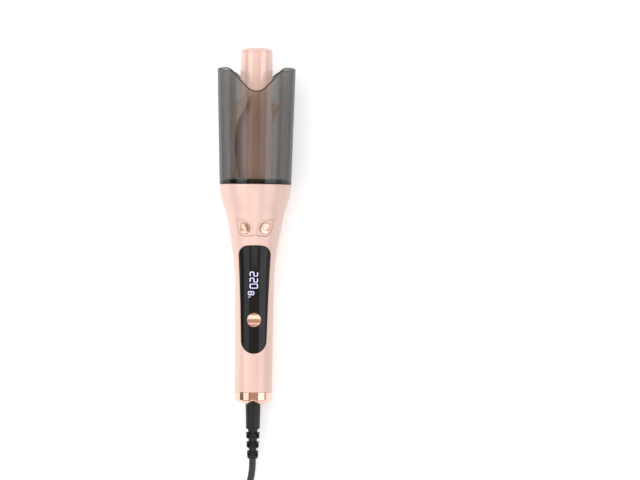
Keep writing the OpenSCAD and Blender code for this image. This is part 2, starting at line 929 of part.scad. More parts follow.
lay_down() smoked_guard();
lay_down() chamber_floor();
lay_down() floor_screws();
lay_down() heating_barrel();
lay_down() tip_cap();
lay_down() tip_screw();
lay_down() cap_anchor();
lay_down() heater_clamps();
lay_down() ptc_element();
lay_down() thermal_fuse();
lay_down() thermistor();
lay_down() heater_leads();
lay_down() barrel_mount();
lay_down() mount_screws();
lay_down() motor_plate();
lay_down() gearbox();
lay_down() motor();
lay_down() motor_leads();
lay_down() home_sensor();
lay_down() rotor();
lay_down() rotor_gear();
lay_down() home_magnet();
lay_down() drive_pinion();
lay_down() motor_shaft();
lay_down() front_shell();
lay_down() rear_shell();
lay_down() shell_screws();
lay_down() button_bezels();
lay_down() left_button();
lay_down() right_button();
lay_down() curl_switches();
lay_down() switch_boards();
lay_down() display_window();
lay_down() display_module();
lay_down() power_button();
lay_down() power_switch();
lay_down() control_board();
lay_down() board_chips();
lay_down() power_board();
lay_down() power_parts();
lay_down() end_collar();
lay_down() swivel_socket();
lay_down() contact_springs();
lay_down() mains_leads();
lay_down() swivel_plug();
lay_down() contact_rings();
lay_down() strain_relief();
cord();
cord_hank();
cord_tail();
cord_tie();
plug_body();
plug_pins();
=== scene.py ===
import math

import bpy
import numpy as np
from mathutils import Matrix, Vector
from mathutils.geometry import delaunay_2d_cdt
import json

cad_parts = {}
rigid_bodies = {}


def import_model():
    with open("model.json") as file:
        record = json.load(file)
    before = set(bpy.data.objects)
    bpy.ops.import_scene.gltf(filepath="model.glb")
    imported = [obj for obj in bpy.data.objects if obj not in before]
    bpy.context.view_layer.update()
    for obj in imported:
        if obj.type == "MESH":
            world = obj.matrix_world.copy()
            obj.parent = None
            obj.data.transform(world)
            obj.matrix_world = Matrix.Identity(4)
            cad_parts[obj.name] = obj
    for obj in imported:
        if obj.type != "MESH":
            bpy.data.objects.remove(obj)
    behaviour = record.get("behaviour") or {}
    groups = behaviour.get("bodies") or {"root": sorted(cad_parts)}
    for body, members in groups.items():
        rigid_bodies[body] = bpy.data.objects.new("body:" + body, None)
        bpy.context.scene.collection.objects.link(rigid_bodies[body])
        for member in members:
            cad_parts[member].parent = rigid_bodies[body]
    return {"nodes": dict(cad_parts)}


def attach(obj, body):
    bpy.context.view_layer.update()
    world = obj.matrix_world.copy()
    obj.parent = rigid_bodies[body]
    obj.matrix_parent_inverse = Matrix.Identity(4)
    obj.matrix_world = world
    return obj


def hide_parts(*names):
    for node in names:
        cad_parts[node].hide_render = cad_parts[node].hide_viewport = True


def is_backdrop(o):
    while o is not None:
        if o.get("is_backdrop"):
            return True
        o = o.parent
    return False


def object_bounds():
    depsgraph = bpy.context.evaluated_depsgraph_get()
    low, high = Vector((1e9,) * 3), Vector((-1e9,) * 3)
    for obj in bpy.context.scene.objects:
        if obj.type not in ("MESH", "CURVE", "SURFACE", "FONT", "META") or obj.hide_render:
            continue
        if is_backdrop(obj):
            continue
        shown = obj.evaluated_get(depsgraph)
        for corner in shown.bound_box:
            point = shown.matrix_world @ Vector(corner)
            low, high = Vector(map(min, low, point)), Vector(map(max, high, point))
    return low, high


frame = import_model()
cad_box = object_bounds()

# --- the tool's own frame, as in the CAD
MM = 0.001
TAIL_R, GUARD_R, GUARD_TOP_R = 16.45, 31.35, 34.15
COLLAR_EDGE, COLLAR_TOP, COLLAR_Z = 0.7, 7.35, -3.3
HEAD_Z, GUARD_LEN, CREASE_Z = 188.5, 101.5, 164.5
GUARD_TOP = HEAD_Z + GUARD_LEN
FLANGE_TOP, ROTOR_Z = HEAD_Z + 2.2, HEAD_Z + 4.9
TILT = math.atan((GUARD_R - TAIL_R) / (HEAD_Z - COLLAR_EDGE))
REST_H = TAIL_R * math.cos(TILT) - COLLAR_EDGE * math.sin(TILT)
MID_X = 128.2
# local x, y, z (millimetres) to the row's frame: z runs to the tip, -y is the display's side
TURN = np.array([
    [0, math.sin(TILT), math.cos(TILT)],
    [-1, 0, 0],
    [0, -math.cos(TILT), math.sin(TILT)],
])
SHIFT = np.array([-MID_X, 0, REST_H])


def to_row(points):
    return (np.asarray(points, float) @ TURN.T + SHIFT) * MM


def columns(*parts):
    """Arrays and numbers side by side, as the columns of one array."""
    return np.column_stack(np.broadcast_arrays(*parts))


def ring_angles(n):
    return np.linspace(0, 2 * math.pi, n, endpoint=False)


def linked(name, data):
    """A new object in the scene."""
    made = bpy.data.objects.new(name, data)
    bpy.context.scene.collection.objects.link(made)
    return made


def homogeneous(axes, place):
    """A 4x4 from three axis columns and a place."""
    return Matrix([(*(a[k] for a in axes), place[k]) for k in range(3)] + [(0, 0, 0, 1)])


def grip_r(z):
    z = np.asarray(z, float)
    return TAIL_R - 0.05 + 0.0078 * z + 0.0292 * np.maximum(0, z - 108) ** 1.4


def body_r(z):
    z = np.asarray(z, float)
    low = float(grip_r(CREASE_Z))
    share = np.clip((z - CREASE_Z) / (HEAD_Z - CREASE_Z), 0, 1)
    return np.where(z <= CREASE_Z, grip_r(z), low + (GUARD_R - low) * np.sin(np.pi / 2 * share))


def guard_r(z):
    return GUARD_R + (GUARD_TOP_R - GUARD_R) * (np.asarray(z, float) - HEAD_Z) / GUARD_LEN


# --- camera
CAM_FAR = 2600.0
AIM = (57.0, 140.7)
LEAN = math.radians(0.61)
VIEW_WIDTH = 560.0
SENSOR = 36.0


def make_camera():
    along, aside = Vector(TURN @ [0, 0, 1]), Vector(TURN @ [1, 0, 0])
    place = Vector(to_row([0, -CAM_FAR, AIM[1]]))
    look = (Vector(to_row([AIM[0], 0, AIM[1]])) - place).normalized()
    up = along * math.cos(LEAN) - aside * math.sin(LEAN)
    right = look.cross(up).normalized()
    up = right.cross(look)
    data = bpy.data.cameras.new("camera")
    data.sensor_width = SENSOR
    data.lens = SENSOR * CAM_FAR / math.cos(math.atan(AIM[0] / CAM_FAR)) / VIEW_WIDTH
    data.clip_start, data.clip_end = 0.01, 60
    cam = linked("camera", data)
    cam.matrix_world = homogeneous((right, up, -look), place)
    bpy.context.scene.camera = cam


make_camera()


# --- meshes
class Facet:
    """A surface of height(u, v) in millimetres over a plane that a 4x4 turns into place."""

    def __init__(self, height, place):
        self.height, self.place = height, place

    def metric(self, p):
        return np.ones_like(p)

    def point(self, p, depth):
        u, v = p.T
        return moved(columns(u, v, self.height(u, v) - depth), self.place)

    def axes(self, p):
        e, (u, v) = 0.02, p.T
        gu = (self.height(u + e, v) - self.height(u - e, v)) / 2 / e
        gv = (self.height(u, v + e) - self.height(u, v - e)) / 2 / e
        rows = columns(-gu, -gv, 1), columns(1, 0, gu), columns(0, 1, gv)
        return [unit(row) @ self.place[:3, :3].T for row in rows]


class Round:
    """A surface of revolution about the tool's axis: u is the angle from -y towards +x, v the height."""

    def __init__(self, radius, lift=0.0):
        self.radius, self.lift = radius, lift

    def r(self, v):
        return self.radius(v) + self.lift

    def slope(self, v):
        return (self.radius(v + 0.05) - self.radius(v - 0.05)) / 0.1

    def metric(self, p):
        return columns(self.r(p[:, 1]), np.sqrt(1 + self.slope(p[:, 1]) ** 2))

    def point(self, p, depth):
        r = self.r(p[:, 1]) - depth
        return columns(r * np.sin(p[:, 0]), -r * np.cos(p[:, 0]), p[:, 1])

    def axes(self, p):
        s, c, k = np.sin(p[:, 0]), np.cos(p[:, 0]), self.slope(p[:, 1])
        g = np.sqrt(1 + k * k)[:, None]
        return [columns(s, -c, -k) / g, columns(c, s, 0), columns(k * s, -k * c, 1) / g]


def unit(a):
    return a / np.maximum(np.linalg.norm(a, axis=-1, keepdims=True), 1e-12)


def moved(points, place):
    return (columns(*np.asarray(points, float).T, 1) @ place.T)[:, :3]


def inside(points, loops):
    """Even-odd test of points against closed loops."""
    x, y = points[:, 0], points[:, 1]
    hit = np.zeros(len(points), bool)
    for loop in loops:
        for (ax, ay), (bx, by) in zip(loop, np.roll(loop, -1, 0)):
            if ay != by:
                hit ^= ((ay > y) != (by > y)) & (x < (bx - ax) * (y - ay) / (by - ay) + ax)
    return hit


def resample(loop, step):
    """A closed loop with its corners kept and no edge longer than step."""
    out = []
    for a, b in zip(loop, np.roll(loop, -1, 0)):
        n = max(1, int(math.ceil(np.linalg.norm(b - a) / step)))
        out += [a + (b - a) * i / n for i in range(n)]
    return np.array(out)


class Shape:
    """Collects vertices and faces with a normal at each face corner, then makes one object."""

    def __init__(self):
        self.points, self.faces, self.normals, self.tags = [], [], [], []
        self.count, self.tag = 0, 0

    def add(self, points):
        """Takes in points and returns their numbers."""
        self.points.append(np.asarray(points, float))
        self.count += len(points)
        return np.arange(self.count - len(points), self.count)

    def face(self, ids, normals):
        self.faces.append(list(map(int, ids)))
        self.tags.append(self.tag)
        self.normals += [tuple(n) for n in normals]

    def strip(self, a, b, na, nb):
        """Quads between two closed rows of point numbers, which run with the material on their left."""
        for i in range(len(a)):
            j = (i + 1) % len(a)
            self.face([a[i], b[i], b[j], a[j]], [na[i], nb[i], nb[j], na[j]])

    def skin(self, surface, loops, depth, fillet=0.3, back=0.0, step=2.0, rows=4, ring=False, rim_tag=0):
        """A sheet on a surface, as thick as depth, inside its first loop and outside the others.
        Loops run anticlockwise round the material. With ring, there are two loops that go round the tool."""
        turns = np.linspace(0, math.pi / 2, rows)
        plan = [(fillet * (1 - math.sin(t)), fillet * (1 - math.cos(t)), t) for t in turns]
        for t in turns if back else [0]:
            plan.append((back * (1 - math.cos(t)), depth - back * (1 - math.sin(t)), math.pi / 2 + t))
        tops, bottoms = [], []
        for k, loop in enumerate(loops):
            wrap = np.array([2 * math.pi, 0]) * ((1 if k == 0 else -1) if ring else 0)
            before, after = np.roll(loop, 1, 0), np.roll(loop, -1, 0)
            before[0] -= wrap
            after[-1] += wrap
            metric = surface.metric(loop)
            e1, e2 = unit((loop - before) * metric), unit((after - loop) * metric)
            n1 = columns(-e1[:, 1], e1[:, 0])
            m = unit(n1 + columns(-e2[:, 1], e2[:, 0]))
            stretch = 1 / np.maximum(0.6, (m * n1).sum(1, keepdims=True))
            last = None
            self.tag = rim_tag if k else 0
            for inset, down, t in plan:
                p = loop + m * stretch * inset / metric
                normal, across, up = surface.axes(p)
                inward = across * m[:, :1] + up * m[:, 1:]
                nrm = unit(normal * math.cos(t) - inward * math.sin(t))
                ids = self.add(surface.point(p, down))
                if last is None:
                    tops.append((p, ids))
                else:
                    self.strip(last[0], ids, last[1], nrm)
                last = (ids, nrm)
            bottoms.append((p, last[0]))
        self.tag = 0
        self.cap(surface, tops, 0.0, step, ring, True)
        self.cap(surface, bottoms, depth, step, ring, False)

    def cap(self, surface, edges, down, step, ring, top):
        loops = [p for p, _ in edges]
        ids = [i for _, i in edges]
        flat = np.concatenate(loops)
        scale, low, high = surface.metric(flat).mean(0), flat.min(0), flat.max(0)
        counts = np.maximum(1, np.ceil((high - low) * scale / step).astype(int))
        if ring:
            low[0], high[0] = -math.pi, math.pi
        us = np.linspace(low[0], high[0], counts[0] + 1)
        vs = np.linspace(low[1], high[1], counts[1] + 1)
        if ring:
            base, rim = loops
            seam = [v for v in vs if base[0, 1] + 0.4 * step < v < rim[0, 1] - 0.4 * step]
            right = np.array([[math.pi, v] for v in seam])
            left = right[::-1] * [-1, 1]
            turn = [2 * math.pi, 0]
            flat = np.concatenate([base, [base[0] + turn], right, rim, [rim[0] - turn], left])
            seam_ids = self.add(surface.point(right, down))
            known = [*ids[0], ids[0][0], *seam_ids, *ids[1], ids[1][0], *seam_ids[::-1]]
            loops, us = [flat], us[1:-1]
        else:
            known = list(np.concatenate(ids))
        grid = np.array([(u, v) for u in us for v in vs])
        grid = grid[inside(grid, loops)]
        if len(grid):
            gap = (grid[:, None] - flat) * scale
            grid = grid[(gap ** 2).sum(-1).min(1) > (0.55 * step) ** 2]
            known += list(self.add(surface.point(grid, down)))
        everything = np.concatenate([flat, grid]) if len(grid) else flat
        links, at = [], 0
        for loop in loops:
            n = len(loop)
            links += [(at + i, at + (i + 1) % n) for i in range(n)]
            at += n
        coords = [Vector((float(x), float(y))) for x, y in everything * scale]
        verts, _, tris, origin, _, _ = delaunay_2d_cdt(coords, links, [], 0, 1e-7)
        flat_verts = np.array([(v.x, v.y) for v in verts]) / scale
        number = [
            known[found[0]] if found else self.add(surface.point(flat_verts[i:i + 1], down))[0]
            for i, found in enumerate(origin)
        ]
        good = inside(flat_verts[np.array([list(t) for t in tris])].mean(1), loops)
        normal = surface.axes(flat_verts)[0] * (1 if top else -1)
        for t, ok in zip(tris, good):
            a, b, c = (flat_verts[i] for i in t)
            area = (b[0] - a[0]) * (c[1] - a[1]) - (b[1] - a[1]) * (c[0] - a[0])
            if ok and abs(area) >= 1e-10:
                t = t if (area > 0) == top else t[::-1]
                self.face([number[i] for i in t], [normal[i] for i in t])

    def lathe(self, profile, segments=128, place=np.eye(4), soft=38, closed=False, sunk=None):
        """Turns a profile of (radius, height) about z. It runs with the material on its left.
        sunk(radius, height, angles) gives how far each point of a ring is pressed down."""
        profile = np.array(profile, float)
        n = len(profile)
        ring = ring_angles(segments)
        co, si = np.cos(ring), np.sin(ring)
        rows = []
        for r, z in profile:
            if r < 1e-6:
                rows.append([self.add(moved([[0, 0, z]], place))[0]] * segments)
            else:
                down = sunk(r, z, ring) if sunk else 0
                rows.append(self.add(moved(columns(r * co, r * si, z - down), place)))
        last = n if closed else n - 1
        edge = [unit(profile[(i + 1) % n] - profile[i]) for i in range(last)]
        out = [np.array([e[1], -e[0]]) for e in edge]
        limit = math.cos(math.radians(soft))

        def shared(i, k):
            """The normal of edge i where it meets edge k."""
            smooth = (closed or 0 <= k < last) and out[i] @ out[k % last] > limit
            return unit(out[i] + out[k % last]) if smooth else out[i]

        for i in range(last):
            j = (i + 1) % n
            ends = shared(i, i - 1), shared(i, i + 1)
            na, nb = (columns(v[0] * co, v[0] * si, v[1]) @ place[:3, :3].T for v in ends)
            for s in range(segments):
                t = (s + 1) % segments
                corners = {rows[i][s]: na[s], rows[i][t]: na[t], rows[j][t]: nb[t], rows[j][s]: nb[s]}
                if len(corners) > 2:
                    self.face(corners, corners.values())

    def fan(self, centre, ring, normal, rim):
        """Triangles from a point to a ring of point numbers that runs anticlockwise seen from outside."""
        middle = self.add([centre])[0]
        for i in range(len(ring)):
            j = (i + 1) % len(ring)
            self.face([middle, ring[i], ring[j]], [normal, rim[i], rim[j]])

    def grid(self, rings, normals):
        """A tube of rings of points; each ring runs anticlockwise seen from the first ring's side."""
        rows = [self.add(ring) for ring in rings]
        for i in range(len(rows) - 1):
            self.strip(rows[i], rows[i + 1], normals[i], normals[i + 1])
        return rows

    def object(self, name, material, body="handle", replaces=(), slot=None, in_row=False):
        points = np.concatenate(self.points)
        normals = np.array(self.normals)
        if in_row:
            points = points * MM
        else:
            points, normals = to_row(points), normals @ TURN.T
        mesh = bpy.data.meshes.new(name)
        mesh.from_pydata(points.tolist(), [], self.faces)
        mesh.polygons.foreach_set("use_smooth", [True] * len(mesh.polygons))
        mesh.polygons.foreach_set("material_index", self.tags)
        mesh.normals_split_custom_set([tuple(n) for n in unit(normals)])
        mesh.validate(clean_customdata=False)
        mesh.update()
        made = linked(name, mesh)
        for m in material if isinstance(material, list) else [material]:
            mesh.materials.append(m)
        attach(made, body)
        if replaces:
            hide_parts(*replaces)
        return made


def turned(name, material, profile, segments, radii=None, soft=38, **more):
    """One piece made by turning a closed profile, its corners rounded where radii are given."""
    shape = Shape()
    shape.lathe(rounded(profile, radii) if radii else profile, segments, soft=soft, closed=True)
    return shape.object(name, material, **more)


def arc(cx, cy, r, a0, a1, steps=12):
    angles = np.radians(np.linspace(a0, a1, steps + 1))
    return [(cx + r * math.cos(a), cy + r * math.sin(a)) for a in angles]


def rounded(points, radii, steps=5):
    """A profile with its inner corners rounded, by one radius for each point."""
    points = [np.array(p, float) for p in points]
    out = [points[0]]
    for i in range(1, len(points) - 1):
        p, a, b = points[i], points[i - 1] - points[i], points[i + 1] - points[i]
        la, lb = np.linalg.norm(a), np.linalg.norm(b)
        a, b = a / la, b / lb
        half = math.acos(float(np.clip(a @ b, -1, 1))) / 2
        if radii[i] <= 0 or half > math.radians(86):
            out.append(p)
            continue
        cut = min(radii[i] / math.tan(half), 0.48 * la, 0.48 * lb)
        r = cut * math.tan(half)
        centre = p + unit(a + b) * r / math.sin(half)
        s, e = p + a * cut - centre, p + b * cut - centre
        angle = math.acos(float(np.clip(s @ e / r / r, -1, 1)))
        for t in np.linspace(0, angle, steps + 1):
            out.append(centre + (s * math.sin(angle - t) + e * math.sin(t)) / math.sin(angle))
    out.append(points[-1])
    return [tuple(p) for p in out]


def catmull(points, steps=8):
    p = [np.array(q, float) for q in points]
    out = []
    for i in range(len(p) - 1):
        a, b, c, d = p[max(i - 1, 0)], p[i], p[i + 1], p[min(i + 2, len(p) - 1)]
        for k in range(steps):
            u = k / steps
            out.append(0.5 * (2 * b + (c - a) * u + (2 * a - 5 * b + 4 * c - d) * u * u
                              + (3 * b - a - 3 * c + d) * u ** 3))
    out.append(p[-1])
    return np.array(out)


# --- cord
CORD_R = 3.0
CORD_EXIT = (-179, 0, 12.3)
# The cord's way from inside the handle to its hank, and from the hank to its plug, in the row's frame
LEAD = [
    (-156, 0, 14.1), (-167, 0, 13.2), CORD_EXIT, (-189, 0.3, 11.6), (-199, 2, 10.5), (-209, 5.4, 9),
    (-219, 10, 7.4), (-229, 15.6, 5.9), (-239, 21.4, 4.8), (-249, 26.4, 4.2),
]
TAIL = [
    (-271, 29.3, 10.6), (-281, 26.4, 12.4), (-291, 21.4, 14.6), (-301, 15.4, 16.6), (-311, 9.4, 18.2),
    (-321, 4.4, 19.3), (-331, 1.2, 19.8), (-341, 0, 19.9),
]
HANK_X, HANK_RUN = -306, 90
# Turns of the hank: at each share of its length, how far out the cord lies and how high
HANK_TURNS = [
    (0, 30, 4), (0.9, 30, 4), (1.0, 24, 4), (1.9, 24, 4), (2.0, 18, 4), (2.62, 18, 4), (2.88, 18, 10),
    (3.3, 18, 10), (3.5, 24, 10), (4.3, 24, 10), (4.5, 30, 10), (5.0, 30, 10),
]


def hank_point(t):
    """The hank's centreline: t counts turns, each a run, a fold, a run back and a fold."""
    at = [k[0] for k in HANK_TURNS]
    out, up = (float(np.interp(t, at, [k[i] for k in HANK_TURNS])) for i in (1, 2))
    half = HANK_RUN + math.pi * out
    s = (t % 1.0) * 2 * half
    way = 1 if s < half else -1
    s %= half
    if s < HANK_RUN:
        x, y = HANK_RUN / 2 - s, out
    else:
        a = (s - HANK_RUN) / out
        x, y = -HANK_RUN / 2 - out * math.sin(a), out * math.cos(a)
    return (HANK_X + way * x, way * y, up)


def cord_route():
    turns = [hank_point(t) for t in np.arange(0, 4.999, 0.02)]
    return [*catmull(LEAD + turns[:1], 4)[:-1], *turns, *catmull(turns[-1:] + TAIL, 4)[1:]]


# --- materials
class Look:
    """A node material on one Principled shader, with helpers whose scales are in millimetres."""

    def __init__(self, name, color, rough, metallic=0.0, **more):
        self.material = bpy.data.materials.new(name)
        self.material.use_nodes = True
        self.tree = self.material.node_tree
        self.tree.nodes.clear()
        values = {"Base Color": (*color, 1), "Roughness": rough, "Metallic": metallic}
        values.update({k.replace("_", " "): v for k, v in more.items()})
        self.shader = self.add("ShaderNodeBsdfPrincipled", values)
        self.out = self.add("ShaderNodeOutputMaterial", {"Surface": self.shader.outputs[0]})
        self.mm = self.add("ShaderNodeMapping", {
            "Vector": self.add("ShaderNodeTexCoord").outputs["Object"],
            "Location": tuple(-TURN.T @ SHIFT), "Rotation": tuple(Matrix(TURN.T.tolist()).to_euler("XYZ")),
            "Scale": (1 / MM,) * 3,
        }).outputs["Vector"]

    def add(self, kind, values=None, **props):
        node = self.tree.nodes.new(kind)
        for k, v in props.items():
            setattr(node, k, v)
        self.feed(node, values or {})
        return node

    def feed(self, node, values):
        """Sets a node's inputs, or links them where the value is another node's output."""
        for k, v in values.items():
            if isinstance(v, bpy.types.NodeSocket):
                self.tree.links.new(v, node.inputs[k])
            else:
                node.inputs[k].default_value = v

    def noise(self, scale, detail=3, along=None):
        """A noise; its marks are longer along the tool where along is given, as a number under 1."""
        where = self.mm
        if along:
            where = self.add("ShaderNodeMapping", {"Vector": where, "Scale": (1, 1, along)}).outputs[0]
        values = {"Vector": where, "Scale": scale, "Detail": detail}
        return self.add("ShaderNodeTexNoise", values).outputs["Fac"]

    def bands(self, scale, axis, distortion=0.0):
        values = {"Vector": self.mm, "Scale": scale, "Distortion": distortion}
        return self.add("ShaderNodeTexWave", values, bands_direction=axis).outputs["Fac"]

    def math(self, kind, *values):
        return self.add("ShaderNodeMath", dict(enumerate(values)), operation=kind).outputs[0]

    def remap(self, *values):
        """Takes a value, its range from and to, and the new range from and to."""
        return self.add("ShaderNodeMapRange", dict(enumerate(values))).outputs[0]

    def blend(self, factor, first, second):
        a, b = ((*v, 1) if isinstance(v, tuple) else v for v in (first, second))
        return self.add("ShaderNodeMix", {0: factor, 6: a, 7: b}, data_type="RGBA").outputs[2]

    def color(self, value):
        self.feed(self.shader, {"Base Color": value})

    def rough(self, value, low, high):
        self.feed(self.shader, {"Roughness": self.remap(value, 0.3, 0.7, low, high)})

    def bump(self, height, depth_mm, strength=1.0):
        values = {"Height": height, "Strength": strength, "Distance": depth_mm * MM}
        self.feed(self.shader, {"Normal": self.add("ShaderNodeBump", values).outputs[0]})


def tint(color, k):
    return tuple(min(1.0, c * k) for c in color)


def varied(name, color, rough, spread=0.05, scale=0.35, grain=3.0, depth=0.004, metallic=0.0, **more):
    """A finish with slow colour drift, uneven gloss and a fine surface grain."""
    look = Look(name, color, rough, metallic, **more)
    look.color(look.blend(look.noise(scale, 2), tint(color, 1 - spread), tint(color, 1 + spread)))
    look.rough(look.noise(scale * 4, 4), rough * 0.85, rough * 1.15)
    look.bump(look.noise(grain, 2), depth)
    return look.material


ROSE = (0.785, 0.54, 0.465)
BARREL_ROSE = (0.86, 0.59, 0.505)
ROSE_METAL = (0.94, 0.60, 0.48)

rose_shell = varied("rose_satin_paint", ROSE, 0.34, 0.02, 0.05, 0.8, 0.0006, 0.12,
                    Coat_Weight=0.35, Coat_Roughness=0.12)
rotor_rose = varied("rose_gloss_plastic", tint(ROSE, 0.98), 0.33, 0.02, 0.08, 0.7, 0.0006, 0.05,
                    Coat_Weight=0.3, Coat_Roughness=0.1)
barrel_coat = varied("rose_ceramic_coat", BARREL_ROSE, 0.23, 0.03, 0.06, 1.1, 0.0008, 0.25,
                     Coat_Weight=0.4, Coat_Roughness=0.18)
black_gloss = varied("black_gloss_panel", (0.006, 0.0065, 0.007), 0.15, 0.1, 0.1, 1.5, 0.0004,
                     Specular_IOR_Level=0.35)
boot_rubber = varied("black_soft_rubber", (0.008, 0.008, 0.008), 0.42, 0.15, 0.3, 5.0, 0.006,
                     Specular_IOR_Level=0.35)
cord_pvc = varied("black_cord_jacket", (0.02, 0.02, 0.021), 0.38, 0.12, 0.2, 2.0, 0.01)
plug_plastic = varied("black_plug_moulding", (0.025, 0.025, 0.026), 0.36, 0.12, 0.2, 3.5, 0.008)
dark_plastic = varied("dark_moulded_plastic", (0.018, 0.018, 0.019), 0.4, 0.1, 0.3, 4.0, 0.005)
inner_plastic = varied("ivory_moulded_plastic", (0.72, 0.68, 0.58), 0.45, 0.04, 0.3, 4.0, 0.005)
steel = varied("zinc_plated_steel", (0.62, 0.63, 0.66), 0.33, 0.06, 0.8, 6.0, 0.003, 1.0)
brass = varied("turned_brass", (0.80, 0.60, 0.28), 0.23, 0.06, 0.8, 6.0, 0.003, 1.0)
pin_nickel = varied("nickel_plated_pins", (0.72, 0.70, 0.66), 0.2, 0.05, 0.8, 6.0, 0.002, 1.0)
aluminium = varied("extruded_aluminium", (0.78, 0.79, 0.81), 0.35, 0.05, 0.5, 5.0, 0.004, 1.0)
copper_lead = varied("insulated_lead", (0.55, 0.12, 0.08), 0.4, 0.08, 0.5, 4.0, 0.004)
gap_black = varied("dark_gap", (0.01, 0.008, 0.008), 0.6, 0.1, 0.5, 3.0, 0.003)
icon_brown = varied("engraved_rose_brown", (0.26, 0.10, 0.075), 0.35, 0.12, 0.8, 8.0, 0.003, 0.6)


def rose_chrome(name, color, rough):
    look = Look(name, color, rough, 1.0)
    look.color(look.blend(look.noise(0.12, 2), tint(color, 0.97), tint(color, 1.04)))
    look.rough(look.noise(1.5, 5), rough * 0.7, rough * 1.3)
    look.bump(look.noise(0.5, 2), 0.001)
    return look.material


def circuit_board():
    look = Look("green_circuit_board", (0.02, 0.12, 0.05), 0.35)
    tracks = look.math("GREATER_THAN", look.bands(0.9, "X", 6.0), 0.62)
    look.color(look.blend(tracks, (0.015, 0.10, 0.045), (0.03, 0.20, 0.08)))
    look.rough(look.noise(2.0), 0.3, 0.42)
    look.bump(tracks, 0.03, 0.6)
    return look.material


def woven_strap():
    look = Look("woven_black_strap", (0.03, 0.03, 0.032), 0.75)
    weave = look.math("MULTIPLY", look.bands(3.2, "X"), look.bands(3.2, "Y"))
    look.color(look.blend(weave, (0.012, 0.012, 0.013), (0.05, 0.05, 0.053)))
    look.rough(look.noise(3.0), 0.65, 0.85)
    look.bump(weave, 0.12)
    look.feed(look.shader, {"Sheen Weight": 0.3})
    return look.material


def lit_digits():
    look = Look("lit_display_segments", (0.5, 0.5, 0.8), 0.3)
    glow = look.blend(look.noise(1.2, 2), (0.52, 0.50, 0.92), (0.74, 0.72, 1.0))
    strength = look.remap(look.noise(2.5, 2), 0.3, 0.7, 0.5, 0.7)
    look.feed(look.shader, {"Base Color": glow, "Emission Color": glow, "Emission Strength": strength})
    return look.material


# What one surface of the smoked plastic lets through, straight on and at a glance
SMOKE_CLEAR, SMOKE_EDGE = (0.73, 0.72, 0.705), (0.30, 0.30, 0.295)
SMOKE_BAND = (0.10, 0.10, 0.10)


def smoked(name, clear, edge, gloss_rough=0.05):
    """Tinted see-through plastic: light fades more at a glancing angle, and its foot is nearly black."""
    look = Look(name, (0.02, 0.02, 0.02), gloss_rough)
    facing = look.add("ShaderNodeLayerWeight", {"Blend": 0.5}).outputs["Facing"]
    grazing = look.math("POWER", facing, 1.6)
    streaks = look.noise(0.08, 3, 0.15)
    tone = look.blend(grazing, clear, edge)
    tone = look.blend(look.remap(streaks, 0.35, 0.65, 0.0, 0.12), tone, edge)
    tone = look.blend(look.remap(facing, 0.62, 0.84, 0.0, 1.0), tone, SMOKE_BAND)
    height = look.add("ShaderNodeSeparateXYZ", {0: look.mm}).outputs[2]
    tone = look.blend(look.remap(height, HEAD_Z + 1.6, HEAD_Z + 3.4, 1.0, 0.0), tone, SMOKE_BAND)
    through = look.add("ShaderNodeBsdfTransparent", {"Color": tone})
    haze = look.remap(look.noise(0.4, 4), 0.3, 0.7, gloss_rough * 0.7, gloss_rough * 1.4)
    shine = look.add("ShaderNodeBsdfGlossy", {"Color": (0.95, 0.95, 0.95, 1), "Roughness": haze})
    share = look.math("MULTIPLY_ADD", look.math("POWER", facing, 5.0), 0.5, 0.045)
    mix = look.add("ShaderNodeMixShader", {0: share, 1: through.outputs[0], 2: shine.outputs[0]})
    look.feed(look.out, {"Surface": mix.outputs[0]})
    return look.material


plating = rose_chrome("rose_gold_plating", ROSE_METAL, 0.1)
key_metal = rose_chrome("rose_gold_key", tint(ROSE_METAL, 1.02), 0.2)
board, strap, digits_lit = circuit_board(), woven_strap(), lit_digits()
smoke = smoked("smoked_clear_plastic", SMOKE_CLEAR, SMOKE_EDGE)
smoke_rim = smoked("smoked_plastic_cut_edge", (0.22, 0.22, 0.215), (0.12, 0.12, 0.12), 0.12)


# --- cord pieces
def make_cord():
    data = bpy.data.curves.new("mains_cord", "CURVE")
    data.dimensions = "3D"
    data.bevel_depth, data.bevel_resolution, data.use_fill_caps = CORD_R * MM, 6, True
    route = cord_route()
    spline = data.splines.new("POLY")
    spline.points.add(len(route) - 1)
    for point, (x, y, z) in zip(spline.points, route):
        point.co = (x * MM, y * MM, z * MM, 1)
    spline.use_smooth = True
    data.materials.append(cord_pvc)
    cord = linked("mains_cord", data)
    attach(cord, "handle")
    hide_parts("cord", "cord_hank", "cord_tail")
    return cord


mains_cord = make_cord()


# --- outlines
def wrapped(xz, radius, front=True):
    """Points given as (sideways, height) as (angle, height); the rear's angles run past a quarter turn."""
    x, z = np.asarray(xz, float).T
    a = np.arcsin(np.clip(x / radius(z), -1, 1))
    return columns(a if front else math.pi - a, z)


def offset_loop(loop, grow):
    """A flat anticlockwise loop moved outwards by grow."""
    before, after = np.roll(loop, 1, 0), np.roll(loop, -1, 0)
    e1, e2 = unit(loop - before), unit(after - loop)
    m = unit(columns(e1[:, 1] + e2[:, 1], -e1[:, 0] - e2[:, 0]))
    k = 1 / np.maximum(0.6, m[:, 0] * e1[:, 1] - m[:, 1] * e1[:, 0])
    return loop + m * k[:, None] * grow


WINDOW_Z, WINDOW_TOP, WINDOW_HALF, WINDOW_CORNER, WINDOW_END_R = 41.3, 135.2, 14.05, 8, 11.2
WINDOW_WAIST = (12.2, 86.6)


def window_loop(grow=0.0):
    corner = WINDOW_HALF - WINDOW_CORNER, WINDOW_TOP - WINDOW_CORNER, WINDOW_CORNER
    right = [WINDOW_WAIST] + arc(*corner, 0, 88, 14)
    left = [(-x, z) for x, z in reversed(right)]
    foot = arc(0, WINDOW_Z + WINDOW_END_R, WINDOW_END_R, 180, 360, 28)
    return offset_loop(resample(np.array(foot + right + [(0, WINDOW_TOP + 0.3)] + left), 1.2), grow)


